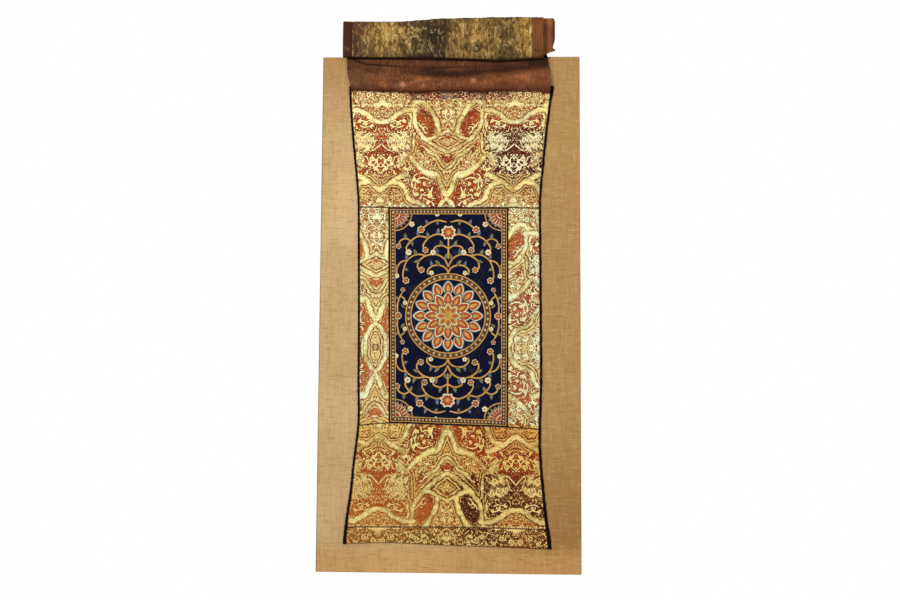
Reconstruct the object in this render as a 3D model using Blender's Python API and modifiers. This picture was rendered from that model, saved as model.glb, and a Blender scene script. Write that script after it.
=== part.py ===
# Thangka scroll painting: an old silk picture in a brocade surround, sewn to a linen-covered board,
# with its silk veil turned up and folded over the top.
# Metres, +Z up, +X to the viewer's right, and the front faces -Y.
# The origin is the middle of the top edge of the board's back face, where the board hangs on a wall.

import math

import bmesh
import bpy
from mathutils import Vector

# Board
BOARD_WIDTH = 0.680
BOARD_HEIGHT = 1.346
BOARD_DEPTH = 0.018
BOARD_EDGE_RADIUS = 0.0025

# Cloth thicknesses. The picture and the brocade are measured with the lining behind them.
SEAM_GAP = 0.0003
BROCADE_THICKNESS = 0.0020
PICTURE_THICKNESS = 0.0022
BINDING_THICKNESS = 0.0026
HEM_THICKNESS = 0.0046
HEADER_THICKNESS = 0.0014
VEIL_THICKNESS = 0.0016

# How far the cloth lifts from the board where it isn't quite flat
SWAY = 0.0005
CLOTH_BACK = BOARD_DEPTH + SEAM_GAP

# The side edges of the hanging, waisted between the flared ends.
# Columns: height, left edge, right edge, width of the left binding, width of the right binding
SIDE_STATIONS = (
    (-0.072, -0.2690, 0.2700, 0.0050, 0.0090),
    (-0.090, -0.2690, 0.2714, 0.0050, 0.0090),
    (-0.106, -0.2683, 0.2681, 0.0050, 0.0060),
    (-0.140, -0.2664, 0.2627, 0.0050, 0.0048),
    (-0.203, -0.2612, 0.2548, 0.0050, 0.0048),
    (-0.267, -0.2550, 0.2481, 0.0050, 0.0048),
    (-0.363, -0.2451, 0.2391, 0.0048, 0.0046),
    (-0.400, -0.2429, 0.2375, 0.0046, 0.0046),
    (-0.490, -0.2414, 0.2379, 0.0046, 0.0046),
    (-0.740, -0.2383, 0.2397, 0.0046, 0.0048),
    (-0.865, -0.2376, 0.2401, 0.0048, 0.0050),
    (-0.957, -0.2364, 0.2374, 0.0050, 0.0054),
    (-1.020, -0.2421, 0.2369, 0.0052, 0.0056),
    (-1.080, -0.2491, 0.2405, 0.0052, 0.0058),
    (-1.140, -0.2543, 0.2461, 0.0056, 0.0062),
    (-1.203, -0.2635, 0.2530, 0.0064, 0.0070),
    (-1.262, -0.2699, 0.2620, 0.0080, 0.0085),
    (-1.285, -0.2698, 0.2640, 0.0086, 0.0090),
)

# Seams that run across the hanging.
# Columns: distance to the right, top seam, lower seam, hem stitching, lower edge
CROSS_STATIONS = (
    (-0.270, -0.4020, -0.9756, -1.2312, -1.2741),
    (-0.157, -0.4042, -0.9655, -1.2298, -1.2700),
    (-0.010, -0.4040, -0.9690, -1.2290, -1.2748),
    (0.151, -0.4040, -0.9739, -1.2304, -1.2789),
    (0.262, -0.4064, -0.9806, -1.2336, -1.2823),
)
BROCADE_TOP_EDGE = -0.030
BINDING_TOP_EDGE = -0.080

# Sides of the picture. Columns: height, left side, right side
PICTURE_STATIONS = (
    (-0.402, -0.1609, 0.1514),
    (-0.690, -0.1574, 0.1516),
    (-0.980, -0.1542, 0.1511),
)

# The plain silk header, bunched below the folded veil and running up behind it.
# Columns: distance to the right, lower edge, ridge height, valley height, ridge depth, valley depth
HEADER_STATIONS = (
    (-0.275, -0.0880, -0.0690, -0.0230, 0.0282, 0.0258),
    (-0.182, -0.0930, -0.0770, -0.0270, 0.0300, 0.0250),
    (-0.095, -0.1060, -0.0820, -0.0398, 0.0318, 0.0242),
    (-0.012, -0.0980, -0.0800, -0.0458, 0.0328, 0.0238),
    (0.090, -0.1040, -0.0770, -0.0400, 0.0328, 0.0240),
    (0.180, -0.0975, -0.0650, -0.0290, 0.0318, 0.0244),
    (0.262, -0.1030, -0.0590, -0.0190, 0.0300, 0.0250),
)
# Side edges of the header, with the torn notch at the right. Columns: height, left edge, right edge
HEADER_SIDES = (
    (-0.105, -0.2640, 0.2620),
    (-0.080, -0.2650, 0.2625),
    (-0.044, -0.2748, 0.2600),
    (0.000, -0.2742, 0.2544),
    (0.006, -0.2744, 0.2540),
    (0.015, -0.2748, 0.2756),
    (0.022, -0.2752, 0.2692),
    (0.040, -0.2760, 0.2742),
    (0.062, -0.2765, 0.2746),
    (0.082, -0.2765, 0.2744),
    (0.090, -0.2750, 0.2710),
)
HEADER_BACK = CLOTH_BACK + SWAY + BINDING_THICKNESS + SEAM_GAP + HEADER_THICKNESS / 2
HEADER_RETURN = 0.026

# The folded veil. Columns: distance to the right, top edge, lower edge
VEIL_STATIONS = (
    (-0.2850, 0.0914, -0.0062),
    (-0.220, 0.0910, -0.0074),
    (-0.135, 0.0911, -0.0077),
    (-0.029, 0.0985, -0.0092),
    (0.070, 0.1004, -0.0122),
    (0.129, 0.1017, -0.0146),
    (0.200, 0.1016, -0.0106),
    (0.2435, 0.1010, -0.0067),
)
VEIL_SEAM_LEFT = -0.2609
VEIL_SEAM_RIGHT = 0.2135
VEIL_LAYER_PITCH = 0.0034
VEIL_BACK = HEADER_BACK + HEADER_THICKNESS / 2 + SEAM_GAP + VEIL_THICKNESS / 2
VEIL_FRONT = VEIL_BACK + 4 * VEIL_LAYER_PITCH
VEIL_TUCK = 0.030
VEIL_BULGE = 0.0016
INNER_CLEARANCE = 0.004
INNER_RISE = 0.006
TURN_STEPS = 6
OVER_TOP_STEPS = 9


def between(stations, at, column):
    """The value of one column at a place along a table, on a smooth curve through its rows."""
    places = [row[0] for row in stations]
    rows = stations if places[0] < places[-1] else stations[::-1]
    last = len(rows) - 1
    at = min(max(at, rows[0][0]), rows[last][0])
    k = next(i for i in range(last) if at <= rows[i + 1][0])
    a, b = rows[k], rows[k + 1]
    before, after = rows[max(k - 1, 0)], rows[min(k + 2, last)]
    span = b[0] - a[0]
    t = (at - a[0]) / span
    slope_a = (b[column] - before[column]) / (b[0] - before[0]) * span
    slope_b = (after[column] - a[column]) / (after[0] - a[0]) * span
    return (
        a[column] * (1 + 2 * t) * (1 - t) ** 2
        + b[column] * t * t * (3 - 2 * t)
        + slope_a * t * (1 - t) ** 2
        + slope_b * t * t * (t - 1)
    )


def lerp(a, b, t):
    return a + (b - a) * t


def sway(x, z):
    """How far the hanging lifts from the board, a slow unevenness that all its pieces share."""
    wave = math.sin(9 * x + 4 * z + 0.6) * math.cos(7 * z - 5 * x) + 0.4 * math.sin(21 * z + 8 * x)
    return SWAY * (0.5 + wave / 2.8)


def new_finish(name, colour, roughness):
    finish = bpy.data.materials.new(name)
    finish.use_nodes = True
    shader = finish.node_tree.nodes["Principled BSDF"]
    shader.inputs["Base Color"].default_value = (*colour, 1)
    shader.inputs["Roughness"].default_value = roughness
    return finish


def cloth(name, columns, rows, place, thickness, finish, offset=0.0, fullness=None):
    """A sheet shaped from a flat grid and given its thickness.

    place(u, v) is the point for u across and v along the cloth, each from 0 to 1. offset 1 puts the
    whole thickness on the front, and fullness(u, v) is the share of the thickness that is used there.
    """
    mesh = bpy.data.meshes.new(name)
    grid = bmesh.new()
    bmesh.ops.create_grid(grid, x_segments=columns, y_segments=rows, size=0.5)
    flat = [(vert.co.x + 0.5, vert.co.y + 0.5) for vert in grid.verts]
    for vert, (u, v) in zip(grid.verts, flat):
        vert.co = place(u, v)
    grid.to_mesh(mesh)
    grid.free()
    mesh.shade_smooth()
    piece = bpy.data.objects.new(name, mesh)
    piece.data.materials.append(finish)
    hanging.objects.link(piece)
    solidify = piece.modifiers.new("thickness", "SOLIDIFY")
    solidify.thickness = thickness
    solidify.offset = offset
    if fullness:
        group = piece.vertex_groups.new(name="fullness")
        for index, (u, v) in enumerate(flat):
            group.add([index], fullness(u, v), "REPLACE")
        solidify.vertex_group = group.name
    return piece


def on_board(x, z):
    """A point of the hanging's back, just clear of the board."""
    return Vector((x, -CLOTH_BACK - sway(x, z), z))


def left_edge(z):
    return between(SIDE_STATIONS, z, 1)


def right_edge(z):
    return between(SIDE_STATIONS, z, 2)


def brocade_left_edge(z):
    return left_edge(z) + between(SIDE_STATIONS, z, 3) + SEAM_GAP


def brocade_right_edge(z):
    return right_edge(z) - between(SIDE_STATIONS, z, 4) - SEAM_GAP


def picture_left(z):
    return between(PICTURE_STATIONS, z, 1)


def picture_right(z):
    return between(PICTURE_STATIONS, z, 2)


def top_seam(x):
    return between(CROSS_STATIONS, x, 1)


def lower_seam(x):
    return between(CROSS_STATIONS, x, 2)


def hem_line(x):
    return between(CROSS_STATIONS, x, 3)


def lower_edge(x):
    return between(CROSS_STATIONS, x, 4)


def panel_place(left_of, right_of, bottom_of, top_of):
    """place(u, v) for a panel between two side edges and two cross edges."""

    def place(u, v):
        # The side edges depend on the height and the cross edges on the distance across,
        # so the corner settles in a few rounds.
        x = 0.0
        z = 0.0
        for _ in range(4):
            z = lerp(bottom_of(x), top_of(x), v)
            x = lerp(left_of(z), right_of(z), u)
        return on_board(x, z)

    return place


def build_board():
    bpy.ops.mesh.primitive_cube_add(size=1)
    board = bpy.context.object
    board.name = "backing_board"
    board.data.name = "backing_board"
    for vert in board.data.vertices:
        vert.co = (
            vert.co.x * BOARD_WIDTH,
            (vert.co.y - 0.5) * BOARD_DEPTH,
            (vert.co.z - 0.5) * BOARD_HEIGHT,
        )
    bevel = board.modifiers.new("soft edge", "BEVEL")
    bevel.width = BOARD_EDGE_RADIUS
    bevel.segments = 3
    board.data.materials.append(new_finish("linen", (0.53, 0.36, 0.19), 0.9))
    for collection in list(board.users_collection):
        collection.objects.unlink(board)
    hanging.objects.link(board)


def build_brocade():
    gold = new_finish("brocade", (0.72, 0.50, 0.24), 0.55)
    cloth(
        "brocade_top", 16, 10,
        panel_place(brocade_left_edge, brocade_right_edge,
                    lambda x: top_seam(x) + SEAM_GAP, lambda x: BROCADE_TOP_EDGE),
        BROCADE_THICKNESS, gold, offset=1.0,
    )
    cloth(
        "brocade_left", 4, 16,
        panel_place(brocade_left_edge, lambda z: picture_left(z) - SEAM_GAP,
                    lambda x: lower_seam(x) + SEAM_GAP, lambda x: top_seam(x) - SEAM_GAP),
        BROCADE_THICKNESS, gold, offset=1.0,
    )
    cloth(
        "brocade_right", 4, 16,
        panel_place(lambda z: picture_right(z) + SEAM_GAP, brocade_right_edge,
                    lambda x: lower_seam(x) + SEAM_GAP, lambda x: top_seam(x) - SEAM_GAP),
        BROCADE_THICKNESS, gold, offset=1.0,
    )
    build_lower_brocade(gold)


def build_lower_brocade(gold):
    """The lower panel, with its hem turned up into a low flat roll under a line of stitching."""
    body_rows = 16
    hem_rows = 6
    rows = body_rows + hem_rows
    hem_share = hem_rows / rows

    def height(x, v):
        if v < hem_share:
            return lerp(lower_edge(x), hem_line(x), v / hem_share)
        return lerp(hem_line(x), lower_seam(x) - SEAM_GAP, (v - hem_share) / (1 - hem_share))

    def place(u, v):
        x = 0.0
        z = 0.0
        for _ in range(4):
            z = height(x, v)
            x = lerp(brocade_left_edge(z), brocade_right_edge(z), u)
        return on_board(x, z)

    def fullness(u, v):
        flat = BROCADE_THICKNESS / HEM_THICKNESS
        if v >= hem_share:
            return flat
        crown = math.sin(math.pi * v / hem_share) ** 0.5
        return lerp(flat, 1.0, crown)

    cloth("brocade_bottom", 16, rows, place, HEM_THICKNESS, gold, offset=1.0, fullness=fullness)


def build_picture():
    silk = new_finish("picture", (0.02, 0.025, 0.06), 0.6)
    cloth(
        "picture_panel", 8, 16,
        panel_place(picture_left, picture_right,
                    lambda x: lower_seam(x) + SEAM_GAP, lambda x: top_seam(x) - SEAM_GAP),
        PICTURE_THICKNESS, silk, offset=1.0,
    )


def build_bindings():
    """Narrow dark strips sewn over the two long edges, crowned across their width."""
    dark = new_finish("binding", (0.012, 0.012, 0.02), 0.75)
    crown = 0.55

    def fullness(u, v):
        return lerp(crown, 1.0, math.sin(math.pi * u))

    cloth(
        "binding_left", 2, 96,
        panel_place(left_edge, lambda z: brocade_left_edge(z) - SEAM_GAP,
                    lower_edge, lambda x: BINDING_TOP_EDGE),
        BINDING_THICKNESS, dark, offset=1.0, fullness=fullness,
    )
    cloth(
        "binding_right", 2, 96,
        panel_place(lambda z: brocade_right_edge(z) + SEAM_GAP, right_edge,
                    lower_edge, lambda x: BINDING_TOP_EDGE),
        BINDING_THICKNESS, dark, offset=1.0, fullness=fullness,
    )


def header_section(x):
    """The header's fold line at one place across, from the edge turned under at the back, round the
    rolled lower edge, over the ridge and the valley, and up behind the folded veil."""
    low = between(HEADER_STATIONS, x, 1)
    ridge_z = between(HEADER_STATIONS, x, 2)
    valley_z = between(HEADER_STATIONS, x, 3)
    ridge = between(HEADER_STATIONS, x, 4)
    valley = between(HEADER_STATIONS, x, 5)
    back = HEADER_BACK
    turn = (ridge - back) * 0.42
    crest_z = lerp(valley_z, 0.0, 0.5)
    crest = valley + 0.0014
    points = [
        (back, low + HEADER_RETURN),
        (back, low + turn * 1.7),
        (back + turn * 0.25, low + turn * 0.5),
        (back + turn * 0.95, low),
        (back + turn * 1.75, low + turn * 0.45),
        (lerp(back + 2 * turn, ridge, 0.75), lerp(low, ridge_z, 0.5)),
        (ridge, ridge_z),
        (lerp(ridge, valley, 0.30), lerp(ridge_z, valley_z, 0.35)),
        (lerp(ridge, valley, 0.80), lerp(ridge_z, valley_z, 0.70)),
        (valley, valley_z),
        (crest, crest_z),
        (lerp(crest, back, 0.55), 0.0),
    ]
    points += [(back, row[0]) for row in HEADER_SIDES if row[0] > 0]
    return points


def build_header():
    brown = new_finish("header_silk", (0.16, 0.06, 0.03), 0.5)
    rows = len(header_section(0.0)) - 1
    columns = 20

    def place(u, v):
        x = 0.0
        y = 0.0
        z = 0.0
        for _ in range(4):
            y, z = header_section(x)[round(v * rows)]
            x = lerp(between(HEADER_SIDES, z, 1), between(HEADER_SIDES, z, 2), u)
        return Vector((x, -y, z))

    cloth("veil_header", columns, rows, place, HEADER_THICKNESS, brown)


def turn(depth, radius, height, start, steps):
    """Points round a half turn of the cloth, from one layer to the next."""
    angles = [start + math.pi * k / steps for k in range(steps + 1)]
    return [(depth + radius * math.cos(a), height + radius * math.sin(a)) for a in angles]


def veil_section(x):
    """The folded veil's fold line at one place across: up at the back, over the top, down the front,
    and then back and forth inside."""
    top = between(VEIL_STATIONS, x, 1) - VEIL_THICKNESS / 2
    low = between(VEIL_STATIONS, x, 2) + VEIL_THICKNESS / 2
    pitch = VEIL_LAYER_PITCH
    over = (VEIL_FRONT - VEIL_BACK) / 2
    shoulder = top - over
    bulge = VEIL_BULGE
    inner_top = shoulder - INNER_CLEARANCE
    points = [(VEIL_BACK, shoulder - VEIL_TUCK), (VEIL_BACK, shoulder - VEIL_TUCK / 2)]
    over_top = turn(VEIL_BACK + over, over, shoulder, 0.0, OVER_TOP_STEPS)
    points += [(2 * (VEIL_BACK + over) - depth, height) for depth, height in over_top]
    front_low = low + pitch / 2
    for share in (0.15, 0.35, 0.6, 0.85):
        points.append((VEIL_FRONT + bulge * math.sin(math.pi * share), lerp(shoulder, front_low, share)))
    layer = VEIL_FRONT
    height = front_low
    inner_ends = ((True, inner_top), (False, front_low + INNER_RISE), (True, inner_top - INNER_RISE))
    for upward, far_end in inner_ends:
        centre = layer - pitch / 2
        half_turn = turn(centre, pitch / 2, height, 0.0, TURN_STEPS)
        if upward:
            half_turn = [(depth, 2 * height - z) for depth, z in half_turn]
        points += half_turn
        layer -= pitch
        points += [(layer, lerp(height, far_end, 0.5)), (layer, far_end)]
        height = far_end
    return points


def veil_place(left, right):
    rows = len(veil_section(0.0)) - 1

    def place(u, v):
        x = lerp(left, right, u)
        depth, z = veil_section(x)[round(v * rows)]
        return Vector((x, -depth, z))

    return place, rows


def build_veil():
    dyed = new_finish("veil_silk", (0.25, 0.17, 0.07), 0.55)
    brown = new_finish("veil_border", (0.24, 0.09, 0.04), 0.5)
    pieces = (
        ("veil_centre", VEIL_SEAM_LEFT + SEAM_GAP, VEIL_SEAM_RIGHT - SEAM_GAP, 14, dyed),
        ("veil_border_left", VEIL_STATIONS[0][0], VEIL_SEAM_LEFT, 2, brown),
        ("veil_border_right", VEIL_SEAM_RIGHT, VEIL_STATIONS[-1][0], 2, brown),
    )
    for name, left, right, columns, finish in pieces:
        place, rows = veil_place(left, right)
        cloth(name, columns, rows, place, VEIL_THICKNESS, finish)


for old in list(bpy.data.objects):
    bpy.data.objects.remove(old)
hanging = bpy.data.collections.new("thangka_on_board")
bpy.context.scene.collection.children.link(hanging)
build_board()
build_brocade()
build_picture()
build_bindings()
build_header()
build_veil()
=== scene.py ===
import math

import bpy
import numpy as np
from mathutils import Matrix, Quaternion, Vector


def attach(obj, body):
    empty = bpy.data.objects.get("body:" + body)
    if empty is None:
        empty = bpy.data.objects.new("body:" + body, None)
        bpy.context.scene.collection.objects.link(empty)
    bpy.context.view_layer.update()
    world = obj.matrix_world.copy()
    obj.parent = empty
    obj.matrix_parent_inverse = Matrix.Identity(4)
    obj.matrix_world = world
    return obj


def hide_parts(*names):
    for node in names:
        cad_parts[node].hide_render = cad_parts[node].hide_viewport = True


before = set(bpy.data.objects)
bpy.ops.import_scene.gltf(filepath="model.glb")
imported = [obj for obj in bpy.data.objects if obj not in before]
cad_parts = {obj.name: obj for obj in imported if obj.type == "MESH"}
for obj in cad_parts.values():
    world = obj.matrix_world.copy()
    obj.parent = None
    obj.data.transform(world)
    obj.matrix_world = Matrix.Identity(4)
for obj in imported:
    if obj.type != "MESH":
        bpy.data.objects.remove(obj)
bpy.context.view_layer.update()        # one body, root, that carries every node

mm = 0.001
fullTurn = 2 * math.pi


# Camera, light and floor

view = {
    "target": (0.0005, 0.0, -0.6451),
    "distance": 2.40,
    "azimuth": 1.45,       # degrees, to the right of straight on
    "elevation": -3.87,    # a little below the middle of the hanging, looking up
    "roll": 0.32,
    "lens": 36.6,
}
studio = {
    "worldLight": 0.56,
    "keyPlace": (-1.5, -2.1, 0.75), "keySize": 1.1, "keyPower": 47,
    "fillPlace": (1.7, -2.0, -0.4), "fillSize": 1.6, "fillPower": 11,
    "floorHeight": -1.75, "floorWidth": 2.6, "floorDepth": 1.2,
}


def aimed(place, target):
    return (Vector(target) - Vector(place)).to_track_quat("-Z", "Y")


def makeCamera():
    azimuth, elevation = math.radians(view["azimuth"]), math.radians(view["elevation"])
    back = Vector((
        math.sin(azimuth) * math.cos(elevation),
        -math.cos(azimuth) * math.cos(elevation),
        math.sin(elevation),
    ))
    place = Vector(view["target"]) + back * view["distance"]
    camera = bpy.data.objects.new("camera", bpy.data.cameras.new("camera"))
    camera.data.lens = view["lens"]
    camera.location = place
    camera.rotation_mode = "QUATERNION"
    roll = Quaternion((0, 0, 1), math.radians(view["roll"]))
    camera.rotation_quaternion = aimed(place, view["target"]) @ roll
    bpy.context.scene.collection.objects.link(camera)
    bpy.context.scene.camera = camera


def makeLamp(name, place, size, power):
    lamp = bpy.data.objects.new(name, bpy.data.lights.new(name, "AREA"))
    lamp.data.size = size
    lamp.data.energy = power
    lamp.location = place
    lamp.rotation_mode = "QUATERNION"
    lamp.rotation_quaternion = aimed(place, (0, 0, -0.55))
    bpy.context.scene.collection.objects.link(lamp)


def makeStudio():
    bpy.context.scene.view_settings.view_transform = "Standard"
    world = bpy.data.worlds.new("studio")
    bpy.context.scene.world = world
    world.use_nodes = True
    tree = world.node_tree
    background = tree.nodes["Background"]
    background.inputs["Color"].default_value = (1, 1, 1, 1)
    path = tree.nodes.new("ShaderNodeLightPath")
    level = tree.nodes.new("ShaderNodeMapRange")       # paper white behind, softer light on the cloth
    level.inputs["To Min"].default_value = studio["worldLight"]
    level.inputs["To Max"].default_value = 1.0
    tree.links.new(path.outputs["Is Camera Ray"], level.inputs["Value"])
    tree.links.new(level.outputs["Result"], background.inputs["Strength"])
    makeLamp("key", studio["keyPlace"], studio["keySize"], studio["keyPower"])
    makeLamp("fill", studio["fillPlace"], studio["fillSize"], studio["fillPower"])
    bpy.ops.object.select_all(action="DESELECT")
    bpy.ops.mesh.primitive_plane_add(size=1, location=(0, 0.1, studio["floorHeight"]))
    floor = bpy.context.object
    floor.name = "floor"
    floor.scale = (studio["floorWidth"], studio["floorDepth"], 1)
    bpy.ops.object.transform_apply(location=True, rotation=False, scale=True)
    finish = bpy.data.materials.new("floor")
    finish.use_nodes = True
    finish.node_tree.nodes["Principled BSDF"].inputs["Base Color"].default_value = (0.86, 0.86, 0.85, 1)
    floor.data.materials.append(finish)


makeCamera()
makeStudio()
print("camera, light and floor are in place")


# The hanging's outline, in millimetres. Heights are from the board's top edge.

outline = {
    # height, left edge, right edge, width of the left binding, width of the right binding
    "sides": (
        (-72, -269.0, 270.0, 5.0, 9.0),
        (-90, -269.0, 271.4, 5.0, 9.0),
        (-106, -268.3, 268.1, 5.0, 6.0),
        (-140, -266.4, 262.7, 5.0, 4.8),
        (-203, -261.2, 254.8, 5.0, 4.8),
        (-267, -255.0, 248.1, 5.0, 4.8),
        (-363, -245.1, 239.1, 4.8, 4.6),
        (-400, -242.9, 237.5, 4.6, 4.6),
        (-490, -241.4, 237.9, 4.6, 4.6),
        (-740, -238.3, 239.7, 4.6, 4.8),
        (-865, -237.6, 240.1, 4.8, 5.0),
        (-957, -236.4, 237.4, 5.0, 5.4),
        (-1020, -242.1, 236.9, 5.2, 5.6),
        (-1080, -249.1, 240.5, 5.2, 5.8),
        (-1140, -254.3, 246.1, 5.6, 6.2),
        (-1203, -263.5, 253.0, 6.4, 7.0),
        (-1262, -269.9, 262.0, 8.0, 8.5),
        (-1285, -269.8, 264.0, 8.6, 9.0),
    ),
    # distance to the right, top seam, lower seam, hem stitching, lower edge
    "cross": (
        (-270, -402.0, -975.6, -1231.2, -1274.1),
        (-157, -404.2, -965.5, -1229.8, -1270.0),
        (-10, -404.0, -969.0, -1229.0, -1274.8),
        (151, -404.0, -973.9, -1230.4, -1278.9),
        (262, -406.4, -980.6, -1233.6, -1282.3),
    ),
    # height, left side, right side of the picture
    "picture": (
        (-402, -160.9, 151.4),
        (-690, -157.4, 151.6),
        (-980, -154.2, 151.1),
    ),
    "seamGap": 0.3,
    "brocadeTop": -32.0,
    "bindingTop": -80.0,
}
cloth = {
    "boardFace": 18.3,      # where the cloth's back lies, in front of the wall
    "sway": 0.5,
    "brocade": 2.0,         # thicknesses, with the lining behind
    "hem": 4.6,
    "picture": 2.2,
    "binding": 2.6,
}


def readTable(table, at, column):
    # a smooth curve through one column of a table, read at many places at once
    rows = sorted(table)
    places = np.array([row[0] for row in rows], float)
    values = np.array([row[column] for row in rows], float)
    at = np.clip(at, places[0], places[-1])
    k = np.clip(np.searchsorted(places, at, side="left") - 1, 0, len(rows) - 2)
    before, after = np.maximum(k - 1, 0), np.minimum(k + 2, len(rows) - 1)
    span = places[k + 1] - places[k]
    t = (at - places[k]) / span
    leaving = (values[k + 1] - values[before]) / (places[k + 1] - places[before]) * span
    arriving = (values[after] - values[k]) / (places[after] - places[k]) * span
    return (
        values[k] * (1 + 2 * t) * (1 - t) ** 2
        + values[k + 1] * t * t * (3 - 2 * t)
        + leaving * t * (1 - t) ** 2
        + arriving * t * t * (t - 1)
    )


def sway(x, z):
    # the slow unevenness that all the flat pieces share, in mm
    x, z = x * mm, z * mm
    wave = np.sin(9 * x + 4 * z + 0.6) * np.cos(7 * z - 5 * x) + 0.4 * np.sin(21 * z + 8 * x)
    return cloth["sway"] * (0.5 + wave / 2.8)


def ripple(x, z, sizeX, sizeZ, seed):
    # gentle seeded unevenness between about -1 and 1
    generator = np.random.default_rng(seed)
    total = np.zeros(np.broadcast(x, z).shape)
    for _ in range(6):
        kx, kz = generator.normal(0, 1 / sizeX), generator.normal(0, 1 / sizeZ)
        total = total + np.sin(fullTurn * (kx * x + kz * z) + generator.uniform(0, fullTurn))
    return total / 2.6


def edgeLine(table, column):
    return lambda at: readTable(outline[table], at, column)


leftEdge, rightEdge, leftBinding, rightBinding = (edgeLine("sides", column) for column in (1, 2, 3, 4))
topSeam, lowerSeam, hemLine, lowerEdge = (edgeLine("cross", column) for column in (1, 2, 3, 4))
pictureLeft, pictureRight = edgeLine("picture", 1), edgeLine("picture", 2)


def brocadeLeft(z):
    return leftEdge(z) + leftBinding(z) + outline["seamGap"]


def brocadeRight(z):
    return rightEdge(z) - rightBinding(z) - outline["seamGap"]


# Sheets are grids of points in millimetres, rows by columns by x, y, z

def flatGrid(leftOf, rightOf, heightOf, width, height, step):
    # x and z of a panel between two side edges, with its rows at the heights that heightOf gives
    columns, rows = round(width / step) + 1, round(height / step) + 1
    u, v = np.meshgrid(np.linspace(0, 1, columns), np.linspace(0, 1, rows))
    x = np.zeros_like(u)
    z = np.zeros_like(u)
    for _ in range(4):
        z = heightOf(x, v)
        x = leftOf(z) * (1 - u) + rightOf(z) * u
    return x, z


def edgeDistance(x, z):
    # mm from each point of a panel to its nearest edge
    toSides = np.minimum(x - x[:, :1], x[:, -1:] - x)
    toEnds = np.minimum(z - z[:1, :], z[-1:, :] - z)
    return np.minimum(toSides, toEnds)


def meshFrom(name, points, faces):
    mesh = bpy.data.meshes.new(name)
    mesh.from_pydata((points * mm).tolist(), [], faces)
    mesh.validate()
    mesh.shade_smooth()
    piece = bpy.data.objects.new(name, mesh)
    bpy.context.scene.collection.objects.link(piece)
    return piece


def gridFaces(rows, columns):
    index = np.arange(rows * columns).reshape(rows, columns)
    corners = (index[:-1, :-1], index[:-1, 1:], index[1:, 1:], index[1:, :-1])
    return np.stack([corner.ravel() for corner in corners], axis=1).tolist()


def rimOf(rows, columns):
    # the points round a grid's edge, in order
    index = np.arange(rows * columns).reshape(rows, columns)
    return np.concatenate([index[0, :-1], index[:-1, -1], index[-1, :0:-1], index[:0:-1, 0]])


def panelPiece(name, x, z, front, back, fields):
    # a closed flat panel: its face, a turned edge all round, and a plain back against the board
    rows, columns = x.shape
    points = np.stack([x, -front, z], axis=-1).reshape(-1, 3)
    rim = rimOf(rows, columns)
    turned = points[rim].copy()
    turned[:, 1] = -np.broadcast_to(back, x.shape).ravel()[rim]
    faces = gridFaces(rows, columns)
    first = len(points)
    count = len(rim)
    for k in range(count):
        after = (k + 1) % count
        faces.append([int(rim[k]), first + k, first + after, int(rim[after])])
    faces.append([first + k for k in reversed(range(count))])
    piece = meshFrom(name, np.concatenate([points, turned]), faces)
    for title, values in fields.items():
        addField(piece, title, values, rim)
    return piece


def addField(piece, title, values, rim=None):
    # a number or a triple at every point, which the materials read by name
    triple = values.ndim == 3
    flat = values.reshape(-1, 3) if triple else values.ravel()
    if rim is not None:
        flat = np.concatenate([flat, flat[rim]])
    kind, key = ("FLOAT_VECTOR", "vector") if triple else ("FLOAT", "value")
    field = piece.data.attributes.new(title, kind, "POINT")
    field.data.foreach_set(key, flat.astype(np.float32).ravel())


# Drawing with distances: every motif is a distance in mm, negative inside it

farAway = 14.0


def catmullRom(a, b, c, d, t):
    # from b to c, as t runs from 0 to 1
    bend, twist = 2 * a - 5 * b + 4 * c - d, 3 * b - a - 3 * c + d
    return 0.5 * (2 * b + (c - a) * t + bend * t ** 2 + twist * t ** 3)


def smoothPath(points, closed=False, steps=6):
    # a smooth curve through given points
    p = np.array(points, float)
    if closed:
        before, after, last = np.roll(p, 1, 0), np.roll(p, -1, 0), np.roll(p, -2, 0)
    else:
        ends = np.vstack([2 * p[0] - p[1], p, 2 * p[-1] - p[-2]])
        before, p, after, last = ends[:-3], ends[1:-2], ends[2:-1], ends[3:]
    t = np.linspace(0, 1, steps, endpoint=False)[None, :, None]
    a, b, c, d = (q[:, None, :] for q in (before, p, after, last))
    curve = catmullRom(a, b, c, d, t).reshape(-1, 2)
    return curve if closed else np.vstack([curve, [points[-1]]])


def pathDistance(u, v, path, reach):
    # distance to a path, worked out only near it; the rest keeps farAway
    distance = np.full(u.shape, farAway)
    low, high = path.min(0) - reach, path.max(0) + reach
    near = (u > low[0]) & (u < high[0]) & (v > low[1]) & (v < high[1])
    if not near.any():
        return distance, near
    a, b = u[near], v[near]
    best = np.full(a.shape, 1e9)
    for (au, av), (bu, bv) in zip(path[:-1], path[1:]):
        du, dv = bu - au, bv - av
        length = max(du * du + dv * dv, 1e-9)
        t = np.clip(((a - au) * du + (b - av) * dv) / length, 0, 1)
        best = np.minimum(best, (a - au - t * du) ** 2 + (b - av - t * dv) ** 2)
    distance[near] = np.sqrt(best)
    return distance, near


def addStroke(field, u, v, points, halfWidth, taper=0.0, smooth=True):
    # lowers the field along a stroke, which may thin towards both its ends
    path = smoothPath(points) if smooth else np.array(points, float)
    distance, near = pathDistance(u, v, path, halfWidth + 4)
    if taper:
        ends = np.minimum(
            np.hypot(u - path[0][0], v - path[0][1]), np.hypot(u - path[-1][0], v - path[-1][1])
        )
        halfWidth = halfWidth * np.clip(1 - taper + taper * ends / (4 * halfWidth), 1 - taper, 1)
    np.minimum(field, np.where(near, distance - halfWidth, farAway), out=field)


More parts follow.
